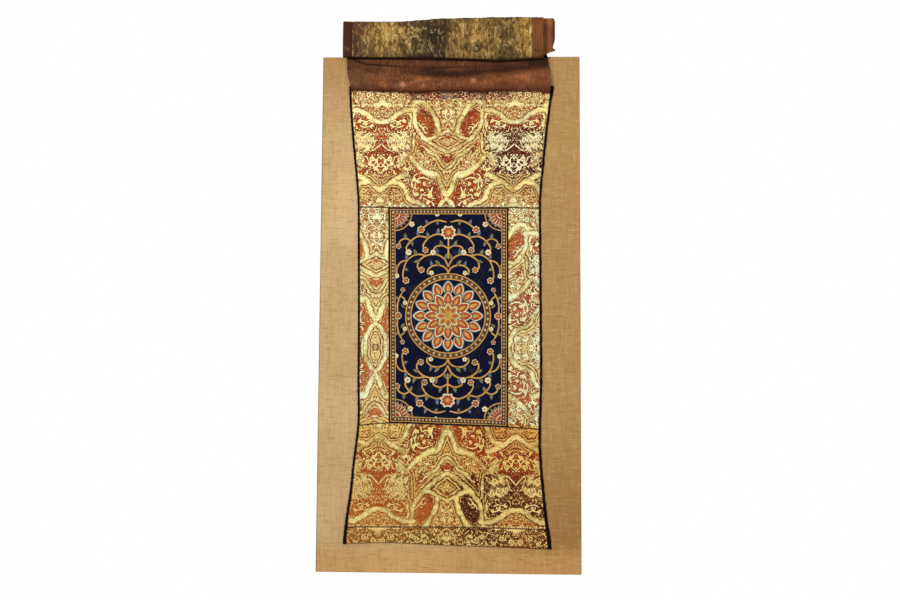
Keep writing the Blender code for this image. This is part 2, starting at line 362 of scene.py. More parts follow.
def addRegion(field, u, v, corners):
    # lowers the field inside a closed outline
    path = smoothPath(corners, closed=True)
    path = np.vstack([path, path[:1]])
    distance, near = pathDistance(u, v, path, 8)
    inside = np.zeros(u.shape, bool)
    a, b = u[near], v[near]
    crossed = np.zeros(a.shape, bool)
    for (au, av), (bu, bv) in zip(path[:-1], path[1:]):
        if av == bv:
            continue
        crossed ^= ((av > b) != (bv > b)) & (a < (bu - au) * (b - av) / (bv - av) + au)
    inside[near] = crossed
    np.minimum(field, np.where(inside, -distance, distance), out=field)


def addDot(field, u, v, cu, cv, radius):
    np.minimum(field, np.hypot(u - cu, v - cv) - radius, out=field)


def leafShape(a, b, root, tip, halfWidth):
    # a pointed leaf or petal
    along = np.array(tip, float) - root
    length = np.hypot(*along)
    along /= length
    da, db = a - root[0], b - root[1]
    run, across = da * along[0] + db * along[1], np.abs(db * along[0] - da * along[1])
    share = np.clip(run / length, 0, 1)
    width = halfWidth * np.sin(math.pi * share ** 0.75) ** 0.8
    return np.maximum(across - width, np.abs(run - length / 2) - length / 2)


def spiral(cu, cv, radius, start, hand):
    # points of a scroll that winds in from its tail, one and a quarter turns
    t = np.linspace(0, 1, 16)
    angle = math.radians(start) + hand * 1.25 * fullTurn * t
    size = radius * (1 - 0.82 * t)
    return np.stack([cu + size * np.cos(angle), cv + size * np.sin(angle)], axis=1)


# Materials are small node trees. These helpers keep them short.

class Signal:
    # one output of a node; sums and products of signals are Math nodes
    def __init__(self, finish, socket):
        self.finish, self.socket = finish, socket

    def __add__(self, other):
        return self.finish.calc("ADD", self, other)

    def __sub__(self, other):
        return self.finish.calc("SUBTRACT", self, other)

    def __rsub__(self, other):
        return self.finish.calc("SUBTRACT", other, self)

    def __mul__(self, other):
        return self.finish.calc("MULTIPLY", self, other)

    def __truediv__(self, other):
        return self.finish.calc("DIVIDE", self, other)

    def __abs__(self):
        return self.finish.calc("ABSOLUTE", self)


class Finish:
    def __init__(self, name, shades, roughness, specular=0.06, metallic=0.0):
        self.shades = shades
        self.material = bpy.data.materials.new(name)
        self.material.use_nodes = True
        self.tree = self.material.node_tree
        self.shader = self.tree.nodes["Principled BSDF"]
        self.shader.inputs["Roughness"].default_value = roughness
        self.shader.inputs["Specular IOR Level"].default_value = specular
        self.shader.inputs["Metallic"].default_value = metallic
        self.place = self.node("ShaderNodeTexCoord").outputs["Object"]

    def node(self, kind, inputs=None, **settings):
        made = self.tree.nodes.new(kind)
        for key, value in settings.items():
            setattr(made, key, value)
        for key, value in (inputs or {}).items():
            self.feed(made.inputs[key], value)
        return made

    def feed(self, socket, value):
        if isinstance(value, Signal):
            value = value.socket
        if isinstance(value, bpy.types.NodeSocket):
            self.tree.links.new(value, socket)
        else:
            socket.default_value = value

    def read(self, made, output=0):
        return Signal(self, made.outputs[output])

    def calc(self, operation, a, b=0.0):
        return self.read(self.node("ShaderNodeMath", {0: a, 1: b}, operation=operation))

    def most(self, a, b):
        return self.calc("MAXIMUM", a, b)

    def sine(self, a):
        return self.calc("SINE", a)

    def ramp(self, value, low, high, toLow=0.0, toHigh=1.0):
        made = self.node("ShaderNodeMapRange", {
            "Value": value, "From Min": low, "From Max": high, "To Min": toLow, "To Max": toHigh,
        }, interpolation_type="SMOOTHSTEP")
        return self.read(made, "Result")

    def field(self, title):
        return self.read(self.node("ShaderNodeAttribute", attribute_name=title), "Fac")

    def threeFields(self, title):
        return self.split(self.node("ShaderNodeAttribute", attribute_name=title).outputs["Vector"])

    def split(self, vector):
        made = self.node("ShaderNodeSeparateXYZ", {"Vector": vector})
        return [self.read(made, part) for part in "XYZ"]

    def acrossAndUp(self):
        # metres to the right of the middle, and metres up from the board's top edge
        px, py, pz = self.split(self.place)
        return px, pz

    def vector(self, operation, a, b):
        return self.node("ShaderNodeVectorMath", {0: a, 1: b}, operation=operation).outputs[0]

    def distance(self, a, b):
        return self.read(self.node("ShaderNodeVectorMath", {0: a, 1: b}, operation="DISTANCE"), "Value")

    def distanceTo(self, x, z):
        # metres from one place, seen from the front
        px, pz = self.acrossAndUp()
        return self.distance(self.node("ShaderNodeCombineXYZ", {"X": px, "Z": pz}).outputs[0], (x, 0.0, z))

    def stretched(self, vector, scale):
        return self.node("ShaderNodeMapping", {"Vector": vector, "Scale": scale}).outputs["Vector"]

    def noise(self, vector, scale, detail=2.0, roughness=0.5, distortion=0.0):
        made = self.node("ShaderNodeTexNoise", {
            "Vector": vector, "Scale": scale, "Detail": detail, "Roughness": roughness,
            "Distortion": distortion,
        })
        return self.read(made, "Fac")

    def mix(self, amount, a, b, mode="MIX"):      # a and b are colours, or names of shades
        made = self.node("ShaderNodeMix", data_type="RGBA", blend_type=mode)
        self.feed(made.inputs[0], amount)
        for socket, value in ((made.inputs[6], a), (made.inputs[7], b)):
            self.feed(socket, colour(self.shades[value]) if isinstance(value, str) else value)
        return made.outputs[2]

    def bump(self, height, distance, strength=1.0):
        made = self.node("ShaderNodeBump", {"Height": height, "Distance": distance, "Strength": strength})
        self.feed(self.shader.inputs["Normal"], made.outputs["Normal"])

    def paint(self, value):
        self.feed(self.shader.inputs["Base Color"], value)


def colour(shade):
    # screen values from 0 to 255, made linear
    def linear(value):
        value /= 255
        return value / 12.92 if value <= 0.04045 else ((value + 0.055) / 1.055) ** 2.4
    return (linear(shade[0]), linear(shade[1]), linear(shade[2]), 1.0)


# Brocade. The cloth's repeat is mirrored from side to side and up and down, so one quarter of it is
# drawn: u runs from a mirror line to the next one, 175 mm, and v down to the next one, 375 mm.

brocade = {
    "halfRepeat": 175.0,
    "fullDrop": 375.0,
    "ribbons": (     # half width, then places (u, v)
        (6.0, ((181, 109), (168, 108), (152, 101), (136, 89), (118, 79), (100, 75), (86, 76))),
        (6.0, ((94, 66), (86, 56), (71, 53), (58, 62), (45, 79), (33, 101), (26, 121), (24, 138))),
        (4.0, ((-8, 132), (0, 131), (12, 138), (26, 145), (40, 151), (52, 154))),
        (5.0, ((-8, 183), (0, 188), (12, 184), (24, 178), (38, 169), (54, 158), (67, 147), (78, 132),
               (86, 114),
               (89, 94), (87, 76))),
        (4.0, ((-8, 230), (0, 231), (9, 227), (17, 218), (23, 205), (33, 196), (52, 187))),
        (6.0, ((-8, 294), (0, 302), (8, 294), (15, 276), (20, 258), (30, 247), (48, 242), (66, 234),
               (82, 221),
               (95, 205))),
        (7.5, ((34, 251), (48, 246), (62, 240))),
        (6.0, ((183, 285), (175, 290), (162, 281), (145, 267), (125, 256), (104, 249))),
        (5.5, ((137, 269), (120, 275), (108, 290), (102, 308), (90, 320), (72, 325), (56, 336), (47, 353),
               (44, 382))),
        (5.5, ((-8, 312), (0, 313), (9, 320), (18, 334), (25, 352), (28, 382))),
        (2.6, ((87, 138), (91, 152), (89, 168), (93, 184), (100, 196))),
        (3.0, ((104, 190), (112, 204), (122, 214), (128, 228))),
        (4.0, ((181, 332), (170, 328), (156, 334), (146, 346), (140, 362), (139, 382))),
    ),
    "redGrounds": (  # outlines of the red-orange places
        ((66, 69), (77, 78), (82, 98), (77, 118), (67, 135), (54, 147), (41, 142), (35, 124), (42, 103),
         (52, 86)),
        ((80, 160), (80, 177), (66, 184), (48, 190), (37, 190), (52, 178), (68, 168)),
        ((186, 111), (158, 114), (163, 123), (167, 136), (165, 152), (156, 168), (168, 186), (186, 188)),
        ((108, 91), (125, 92), (140, 99), (157, 113), (159, 127), (141, 133), (121, 129), (106, 117)),
        ((131, 192), (150, 187), (186, 189), (186, 253), (166, 247), (150, 240), (139, 224), (129, 206)),
        ((110, 241), (119, 224), (129, 234), (133, 245), (118, 245)),
        ((90, 228), (98, 252), (100, 280), (94, 304), (82, 315), (64, 319), (48, 334), (38, 354), (37, 384),
         (31, 384), (31, 352), (23, 332), (12, 317), (9, 308), (20, 292), (30, 268), (38, 255), (56, 246),
         (74, 238)),
        ((186, 262), (168, 263), (172, 275), (186, 279)),
        ((-8, 143), (4, 143), (9, 149), (0, 155), (-8, 155)),
        ((-8, 194), (9, 194), (15, 203), (8, 216), (-8, 220)),
        ((186, 346), (162, 346), (152, 360), (150, 384), (186, 384)),
    ),
    "curledGrounds": (      # red places almost covered with small curls
        ((94, 236), (99, 256), (98, 280), (92, 302), (80, 313), (62, 316), (50, 326), (42, 316), (50, 300),
         (57, 286),
         (61, 268), (70, 254), (84, 243)),
        ((98, 84), (120, 88), (140, 98), (158, 110), (186, 116), (186, 256), (166, 250), (150, 244),
         (132, 250),
         (118, 254), (104, 244), (96, 232), (98, 214), (98, 190), (96, 170), (95, 150), (96, 130), (98, 110)),
        ((100, 212), (112, 232), (117, 254), (130, 261), (113, 270), (103, 284), (99, 304), (88, 316),
         (76, 310),
         (86, 296), (90, 276), (90, 256), (84, 240), (92, 224)),
    ),
    "curledTops": (         # the same on gold, along the cloth's mirror line
        ((42, -30), (186, -30), (186, 98), (168, 98), (152, 90), (136, 78), (118, 69), (100, 65), (92, 57),
         (84, 48),
         (70, 47), (56, 55), (46, 66), (43, 40)),
        ((104, 330), (186, 322), (186, 384), (104, 384)),
        ((-8, -30), (42, -30), (44, 40), (40, 62), (27, 84), (17, 106), (12, 122), (-8, 122)),
        ((70, 196), (50, 200), (34, 207), (28, 220), (33, 235), (48, 234), (66, 226), (80, 213), (84, 200)),
    ),
    "clouds": (      # pale masses covered with curls
        ((100, 136), (116, 134), (134, 138), (150, 136), (160, 146), (160, 162), (150, 174), (138, 186),
         (120, 188),
         (104, 180), (97, 166), (99, 150)),
        ((106, 196), (120, 194), (128, 206), (134, 222), (124, 220), (112, 212)),
        ((108, 346), (118, 338), (130, 344), (134, 358), (134, 384), (112, 384), (106, 362)),
        ((0, 20), (8, 26), (11, 38), (6, 48), (0, 52), (-8, 48), (-8, 24)),
    ),
    "strokes": (     # half width, then places: stems, arcs and leaf edges
        (1.6, ((82, 108), (76, 112), (73, 120), (66, 124), (62, 134), (55, 140))),
        (1.3, ((73, 120), (67, 114), (62, 116))),
        (1.2, ((66, 124), (58, 122), (55, 128))),
        (1.5, ((130, 198), (138, 204), (144, 214), (152, 220), (158, 232), (167, 238), (175, 246))),
        (1.5, ((175, 230), (168, 224), (164, 214), (156, 206), (150, 196))),
        (1.4, ((42, 186), (54, 182), (62, 176), (72, 172))),
        (1.6, ((112, 110), (122, 104), (132, 108), (142, 104), (152, 112))),
        (1.5, ((118, 118), (128, 122), (140, 120), (150, 126))),
        (1.5, ((175, 196), (166, 206), (160, 218), (150, 226), (140, 218))),
        (1.5, ((175, 216), (168, 226), (160, 236))),
        (1.4, ((166, 156), (160, 160), (156, 168))),
        (1.6, ((175, 166), (164, 178), (152, 184))),
        (1.5, ((46, 262), (58, 257), (72, 258), (80, 266), (84, 280), (78, 290))),
        (1.4, ((50, 284), (46, 296), (54, 304), (64, 302), (70, 312))),
        (1.3, ((84, 280), (88, 292), (84, 306))),
        (1.7, ((36, 282), (42, 296), (38, 310), (28, 312))),
        (1.7, ((78, 246), (86, 254), (92, 268), (90, 282))),
        (1.7, ((34, 330), (40, 320), (52, 316), (62, 310))),
        (1.6, ((34, 352), (34, 366), (34, 380))),
        (1.5, ((0, 62), (8, 58), (14, 50), (20, 40), (22, 26))),
        (1.5, ((0, 12), (10, 10), (18, 2), (22, -10))),
        (1.5, ((4, 74), (10, 86), (4, 98), (0, 102))),
        (1.5, ((112, 340), (120, 350), (114, 360), (120, 370), (114, 382))),
        (1.5, ((175, 356), (166, 362), (162, 374), (164, 384))),
        (1.6, ((104, 150), (114, 144), (124, 150), (134, 144), (146, 150))),
        (1.5, ((108, 172), (120, 166), (132, 174), (144, 168))),
    ),
    "scrolls": (     # centre, radius, start in degrees, hand, half width
        (132, 113, 7, 150, 1, 1.4), (148, 119, 5, 0, -1, 1.2),
        (117, 104, 5, 90, 1, 1.2), (113, 152, 8, 190, 1, 1.5), (132, 156, 9, 20, -1, 1.5),
        (150, 158, 7, 160, 1, 1.4),
        (122, 174, 7, 260, -1, 1.4), (140, 175, 6, 80, 1, 1.3), (118, 206, 6, 120, 1, 1.3),
        (153, 206, 7, 60, 1, 1.4),
        (163, 230, 6, 200, -1, 1.3), (146, 217, 5, 300, 1, 1.2), (58, 274, 6, 240, 1, 1.3),
        (73, 268, 5, 60, -1, 1.2), (66, 290, 5, 150, 1, 1.2), (78, 302, 6, 40, -1, 1.3),
        (44, 306, 6, 180, 1, 1.5), (86, 262, 6, 300, -1, 1.4), (48, 322, 5, 20, 1, 1.3),
        (12, 82, 8, 250, -1, 1.5),
        (24, 8, 7, 90, 1, 1.4), (18, -14, 6, 200, -1, 1.3), (158, 66, 8, 200, 1, 1.5),
        (140, 36, 9, 20, -1, 1.5),
        (120, 22, 7, 120, 1, 1.4), (118, 352, 7, 250, 1, 1.5), (124, 372, 6, 60, -1, 1.4),
        (164, 368, 7, 90, 1, 1.5),
        (74, 30, 10, 180, 1, 1.6), (56, 14, 8, 0, -1, 1.5), (92, 40, 7, 80, 1, 1.4), (88, 8, 8, 230, 1, 1.5),
        (60, 40, 6, 300, 1, 1.3), (102, -6, 7, 40, -1, 1.4), (66, -10, 8, 120, -1, 1.5),
    ),
    "rings": ((164, 24, 6.5, 1.5), (164, 24, 2.4, 1.0), (88, 69, 4.5, 1.1), (10, 46, 3.4, 0.9)),
    "dots": (
        (175, 126, 2.2), (171, 158, 1.5), (60, 98, 1.7), (74, 104, 1.6), (52, 134, 1.6), (76, 178, 1.6),
        (58, 184, 1.5),
        (116, 96, 1.7), (140, 104, 1.7), (152, 120, 1.7), (124, 126, 1.6), (175, 206, 3.0), (168, 196, 1.8),
        (158, 196, 1.7), (150, 196, 1.6), (168, 236, 2.0), (175, 270, 2.2), (86, 238, 1.7), (96, 262, 1.7),
        (94, 292, 1.7), (30, 296, 1.7), (34, 272, 1.8), (48, 254, 1.8), (56, 298, 1.8), (0, 161, 2.2),
        (9, 160, 1.5),
        (14, 66, 1.7), (28, 34, 1.7), (28, -18, 1.7), (6, -2, 2.0), (158, 352, 1.7), (170, 350, 1.7),
        (175, 370, 2.4),
    ),
    "lotuses": (     # centre, petal length, petals to each side, turned by so many degrees
        (175, 66, 20, 3, 0), (0, 40, 17, 3, 0), (175, 322, 14, 3, 0),
        (66, 356, 13, 3, 30), (86, 350, 12, 3, 200), (128, 66, 12, 2, 20), (138, 186, 12, 2, 10),
    ),
}


def foldedRepeat(x, v, axis, half=brocade["halfRepeat"]):
    # real places on the cloth, turned into places in the drawn quarter
    u = np.abs(x - axis) / half
    u = 1 - np.abs(1 - np.mod(u, 2.0))
    drop = brocade["fullDrop"]
    return u * brocade["halfRepeat"], drop - np.abs(drop - v)


def addLotus(field, u, v, cu, cv, length, petals, turn):
    # a fan of narrow pointed petals with a dot beyond each tip
    centre = np.array([cu, cv], float)
    for k in range(-petals, petals + 1):
        angle = math.radians(turn + 90 + 160 * k / (2 * petals))
        size = length * (1 - 0.05 * abs(k))
        along = np.array([math.cos(angle), -math.sin(angle)])
        petal = leafShape(u, v, centre + along * 3, centre + along * size, size * 0.15)
        np.minimum(field, petal, out=field)
        addDot(field, u, v, *(centre + along * (size + 3.2)), 1.3)
    addDot(field, u, v, cu, cv, 2.0)


def brocadeFields(u, v):
    # the weaver's outlines are a little uneven, the same way in every repeat
    u, v = (
        u + 1.0 * ripple(u, v, 30, 30, 61) + 0.4 * ripple(u, v, 11, 11, 62),
        v + 1.0 * ripple(u, v, 30, 30, 63) + 0.4 * ripple(u, v, 11, 11, 64),
    )
    ribbon, ground, cloud, line, curled, top = (np.full(u.shape, farAway) for _ in range(6))
    for halfWidth, places in brocade["ribbons"]:
        addStroke(ribbon, u, v, places, halfWidth)
    regions = {"redGrounds": ground, "clouds": cloud, "curledGrounds": curled, "curledTops": top}
    for group, field in regions.items():
        for corners in brocade[group]:
            addRegion(field, u, v, corners)
    for halfWidth, places in brocade["strokes"]:
        addStroke(line, u, v, places, halfWidth, taper=0.3)
    for cu, cv, radius, start, hand, halfWidth in brocade["scrolls"]:
        addStroke(line, u, v, spiral(cu, cv, radius, start, hand), halfWidth, smooth=False)
    for cu, cv, radius, halfWidth in brocade["rings"]:
        np.minimum(line, np.abs(np.hypot(u - cu, v - cv) - radius) - halfWidth, out=line)
    for dot in brocade["dots"]:
        addDot(line, u, v, *dot)
    for lotus in brocade["lotuses"]:
        addLotus(line, u, v, *lotus)
    return ribbon, ground, cloud, line, curled, top


def relief(ribbon, ground, cloud, line):
    # how far the gilt pattern stands proud of its ground, in mm
    def raised(field, soft):
        return np.clip(0.5 - field / soft, 0, 1)
    height = 0.10 * (1 - raised(ground, 1.5)) + 0.22 * raised(ribbon, 2.0)
    return height + 0.12 * raised(cloud, 2.0) + 0.20 * raised(line, 1.5)


stitching = {
    "length": 3.4, "radius": 0.42,      # one hand stitch, in mm
    "hemPitch": 6.0, "bindingPitch": 8.5,
    "shades": {"thread": (66, 40, 26), "threadLit": (120, 84, 54)},
}


def depthOn(piece, x, z):
    # how far forward a piece's surface stands near one place, in mm
    points = np.empty(len(piece.data.vertices) * 3)
    piece.data.vertices.foreach_get("co", points)
    points = points.reshape(-1, 3) / mm
    near = np.hypot(points[:, 0] - x, points[:, 2] - z) < 1.8
    return -points[near, 1].min()


def makeStitches(name, piece, places):
    # one plump stitch, modelled once and copied to every (x, z, turn), half sunk in the cloth
    bpy.ops.object.select_all(action="DESELECT")
    bpy.ops.mesh.primitive_uv_sphere_add(segments=8, ring_count=6, radius=stitching["radius"] * mm)
    first = bpy.context.object
    copies = []
    for x, z, turn in places:
        stitch = bpy.data.objects.new(name, first.data.copy())
        bpy.context.scene.collection.objects.link(stitch)
        stitch.scale = (stitching["length"] / (2 * stitching["radius"]), 1, 1)
        stitch.rotation_euler = (0, turn, 0)
        stitch.location = (x * mm, -depthOn(piece, x, z) * mm, z * mm)
        copies.append(stitch)
    bpy.data.objects.remove(first)
    for stitch in copies:
        stitch.select_set(True)
    bpy.context.view_layer.objects.active = copies[0]
    bpy.ops.object.transform_apply(location=True, rotation=True, scale=True)
    bpy.ops.object.join()
    row = bpy.context.object
    row.name = name
    row.data.shade_smooth()
    row.data.materials.append(threadFinish())
    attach(row, "root")
    return row


def threadFinish():
    f = Finish("sewing thread", stitching["shades"], 0.8)
    twist = f.noise(f.place, 1400.0, 2.0)
    f.paint(f.mix(f.ramp(twist, 0.40, 0.65), "thread", "threadLit"))
    f.bump(twist, 0.0001, 0.6)
    return f.material


def brocadePanel(name, node, x, z, thickness, u, v, crease=None):
    ribbon, ground, cloud, line, curled, top = brocadeFields(u, v)
    edge = edgeDistance(x, z)
    if crease is not None:
        edge = np.minimum(edge, np.abs(z - crease) * 0.8)
    pucker = 0.25 * np.sin(x / 5.1 + 2 * np.sin(z / 31)) * np.exp(-((edge - 4) / 5) ** 2)
    rounded = 0.7 * np.clip(1 - edge / 2.2, 0, 1) ** 2
    back = cloth["boardFace"] + sway(x, z)
    front = back + thickness + relief(ribbon, ground, cloud, line) - rounded + pucker * 0.6
    piece = panelPiece(name, x, z, front, back, {       # the finish reads these by name
        "gilt": np.stack([ribbon, line, cloud], axis=-1),
        "grounds": np.stack([ground, curled, top], axis=-1),
        "repeat": np.stack([u, v, edge], axis=-1),
    })
    piece.data.materials.append(giltCloth)
    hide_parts(node)
    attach(piece, "root")
    sewn = []
    if crease is not None:
        along = np.arange(x.min() + 6, x.max() - 6, stitching["hemPitch"])
        slope = np.gradient(hemLine(along), along)
        sewn = [makeStitches("hemStitches", piece, zip(along, hemLine(along), -np.arctan(slope)))]


panels = {
    "topGrid": (524, 373, 1.5),     # width, height and mm between the points
    "stripGrid": (82, 570, 1.2),
    "bottomGrid": (510, 306, 1.5),
    "topFlat": (0.532, 0.376),
    "stripFlat": (0.084, 0.574),
    "bottomFlat": (0.522, 0.352),
    "topAxis": -10.1, "topLean": 5.0 / 300,     # where the repeat's middle line runs, and its slant
    "topStart": -68, "stripStart": -395,        # the height where the repeat begins
    "leftStripAxis": -192.0, "rightStripAxis": 110.5,
    "bottomAxis": -4.0, "bottomHalf": 176.5,
    "hemShare": 0.145,                          # of the lower panel's rows
    "bottomStart": (-1211, 106, 1.043),         # a height, its row in the table below, mm for each row
    "bottomDrop": (   # row, and the drawn repeat's own v there
        (60, 36), (98, 72), (167, 147), (216, 186), (322, 302), (356, 334),
    ),
    "hemStart": (-1231, 64, 1.15),              # a height, v there, v for each mm
}


def makeBrocadeTop():
    gap = outline["seamGap"]
    x, z = flatGrid(
        brocadeLeft, brocadeRight,
        lambda x, t: (topSeam(x) + gap) * (1 - t) + outline["brocadeTop"] * t,
        *panels["topGrid"],
    )
    axis = panels["topAxis"] + panels["topLean"] * (z + 404)
    u, v = foldedRepeat(x, panels["topStart"] - z, axis)
    brocadePanel("brocadeTop", "brocade_top", x, z, cloth["brocade"], u, v)


def makeStrip(name, node, leftOf, rightOf, axis):
    gap = outline["seamGap"]
    x, z = flatGrid(
        leftOf, rightOf,
        lambda x, t: (lowerSeam(x) + gap) * (1 - t) + (topSeam(x) - gap) * t,
        *panels["stripGrid"],
    )
    u, v = foldedRepeat(x, panels["stripStart"] - z, axis)
    brocadePanel(name, node, x, z, cloth["brocade"], u, v)


def makeBrocadeBottom():
    # the lower panel ends in a low flat roll, its hem turned up under a line of stitching
    gap, hemShare = outline["seamGap"], panels["hemShare"]

    def height(x, t):
        inHem = np.clip(t / hemShare, 0, 1)
        above = np.clip((t - hemShare) / (1 - hemShare), 0, 1)
        return lowerEdge(x) + (hemLine(x) - lowerEdge(x)) * inHem + (lowerSeam(x) - gap - hemLine(x)) * above

    x, z = flatGrid(brocadeLeft, brocadeRight, height, *panels["bottomGrid"])
    low, stitched = lowerEdge(x), hemLine(x)
    share = np.clip((z - low) / (stitched - low), 0, 1)
    roll = (cloth["hem"] - cloth["brocade"]) * np.sin(math.pi * share) ** 0.5
    pulled = 0.5 * np.exp(-((z - stitched) / 2.2) ** 2) * (1 + 0.4 * np.sin(x / 1.3))
    measured, drawn = zip(*panels["bottomDrop"])
    at, row, pitch = panels["bottomStart"]
    body = np.interp(row + (z - at) / pitch, measured, drawn)
    at, row, pitch = panels["hemStart"]
    hem = row + pitch * (z - at)
    u, v = foldedRepeat(x, np.where(z > stitched, body, hem), panels["bottomAxis"], panels["bottomHalf"])
    thickness = cloth["brocade"] + roll - pulled
    brocadePanel("brocadeBottom", "brocade_bottom", x, z, thickness, u, v, stitched)


brocadeShades = {
    "ribbon": (255, 248, 176), "ribbonWorn": (236, 208, 130), "glint": (255, 255, 212),
    "ribbonLine": (84, 52, 12), "ribbonEdge": (222, 184, 108),
    "gold": (208, 164, 94), "goldDeep": (176, 112, 50), "goldLine": (50, 24, 0), "olive": (132, 98, 46),
    "red": (142, 52, 14), "redLit": (168, 72, 22), "redDark": (46, 18, 0), "maroon": (80, 22, 12),
    "black": (18, 5, 0),
    "curl": (252, 244, 184), "topGround": (166, 96, 36), "cream": (246, 234, 178), "white": (255, 253, 222),
    "cloud": (240, 238, 180), "cloudLine": (78, 40, 12), "dust": (192, 122, 54), "seamShade": (44, 20, 8),
    "hemGround": (118, 58, 16), "maroonAndShade": (104, 32, 20), "pink": (246, 206, 172), "rust": (196, 108, 46),
    "stripGold": (242, 202, 118), "toneTop": (255, 240, 216), "toneSides": (255, 255, 255),
    "toneLeft": (255, 238, 192), "toneRight": (252, 214, 156),
}
brocadeZones = {     # where a change begins and where it is complete, in metres across or up
    "darkAcross": (-0.02, 0.04), "darkUp": (-1.07, -1.13),                  # the deep red at the lower right
    "highAcross": (0.06, 0.12), "highTop": (-0.175, -0.205), "highLow": (-0.42, -0.34),
    # under the header: painted shadow of the header, on darker cloth
    "headerAcross": (0.16, 0.12), "headerUp": (-0.104, -0.098), "headerRow": (-0.088, -0.082),
    "cornerAcross": (-0.200, -0.225), "cornerUp": (-1.225, -1.240),
    "hem": (-1.2295, -1.2315),
    "stripAcross": (0.150, 0.162), "stripUp": (0.29, 0.28), "rust": (0.0, 0.1),
    "shine": (-0.962, -0.958), "dustAcross": (0.0, -0.2), "dustUp": (-0.98, -1.15),
    "toneAcross": (-0.05, 0.10), "toneLow": (-0.9585, -0.9605), "toneTop": (-0.394, -0.390),
}


def squiggles(f, drawn, pitch, rings, broken):
    # small curls and broken strokes, from -1 to 1, drawn in the repeat's own millimetres
    push = f.node("ShaderNodeTexNoise", {"Vector": drawn, "Scale": 1.3 / pitch, "Detail": 1.0})
    push = f.vector("SUBTRACT", push.outputs["Color"], (0.5, 0.5, 0.5))
    push = f.vector("MULTIPLY", push, (0.8 * pitch,) * 3)
    cells = f.read(f.node("ShaderNodeTexVoronoi", {
        "Vector": f.vector("ADD", drawn, push), "Scale": 1 / pitch, "Randomness": 0.9,
    }, voronoi_dimensions="2D"), "Distance")
    return f.sine((cells * rings + f.noise(drawn, 1.1 / pitch, 1.0) * broken) * fullTurn)


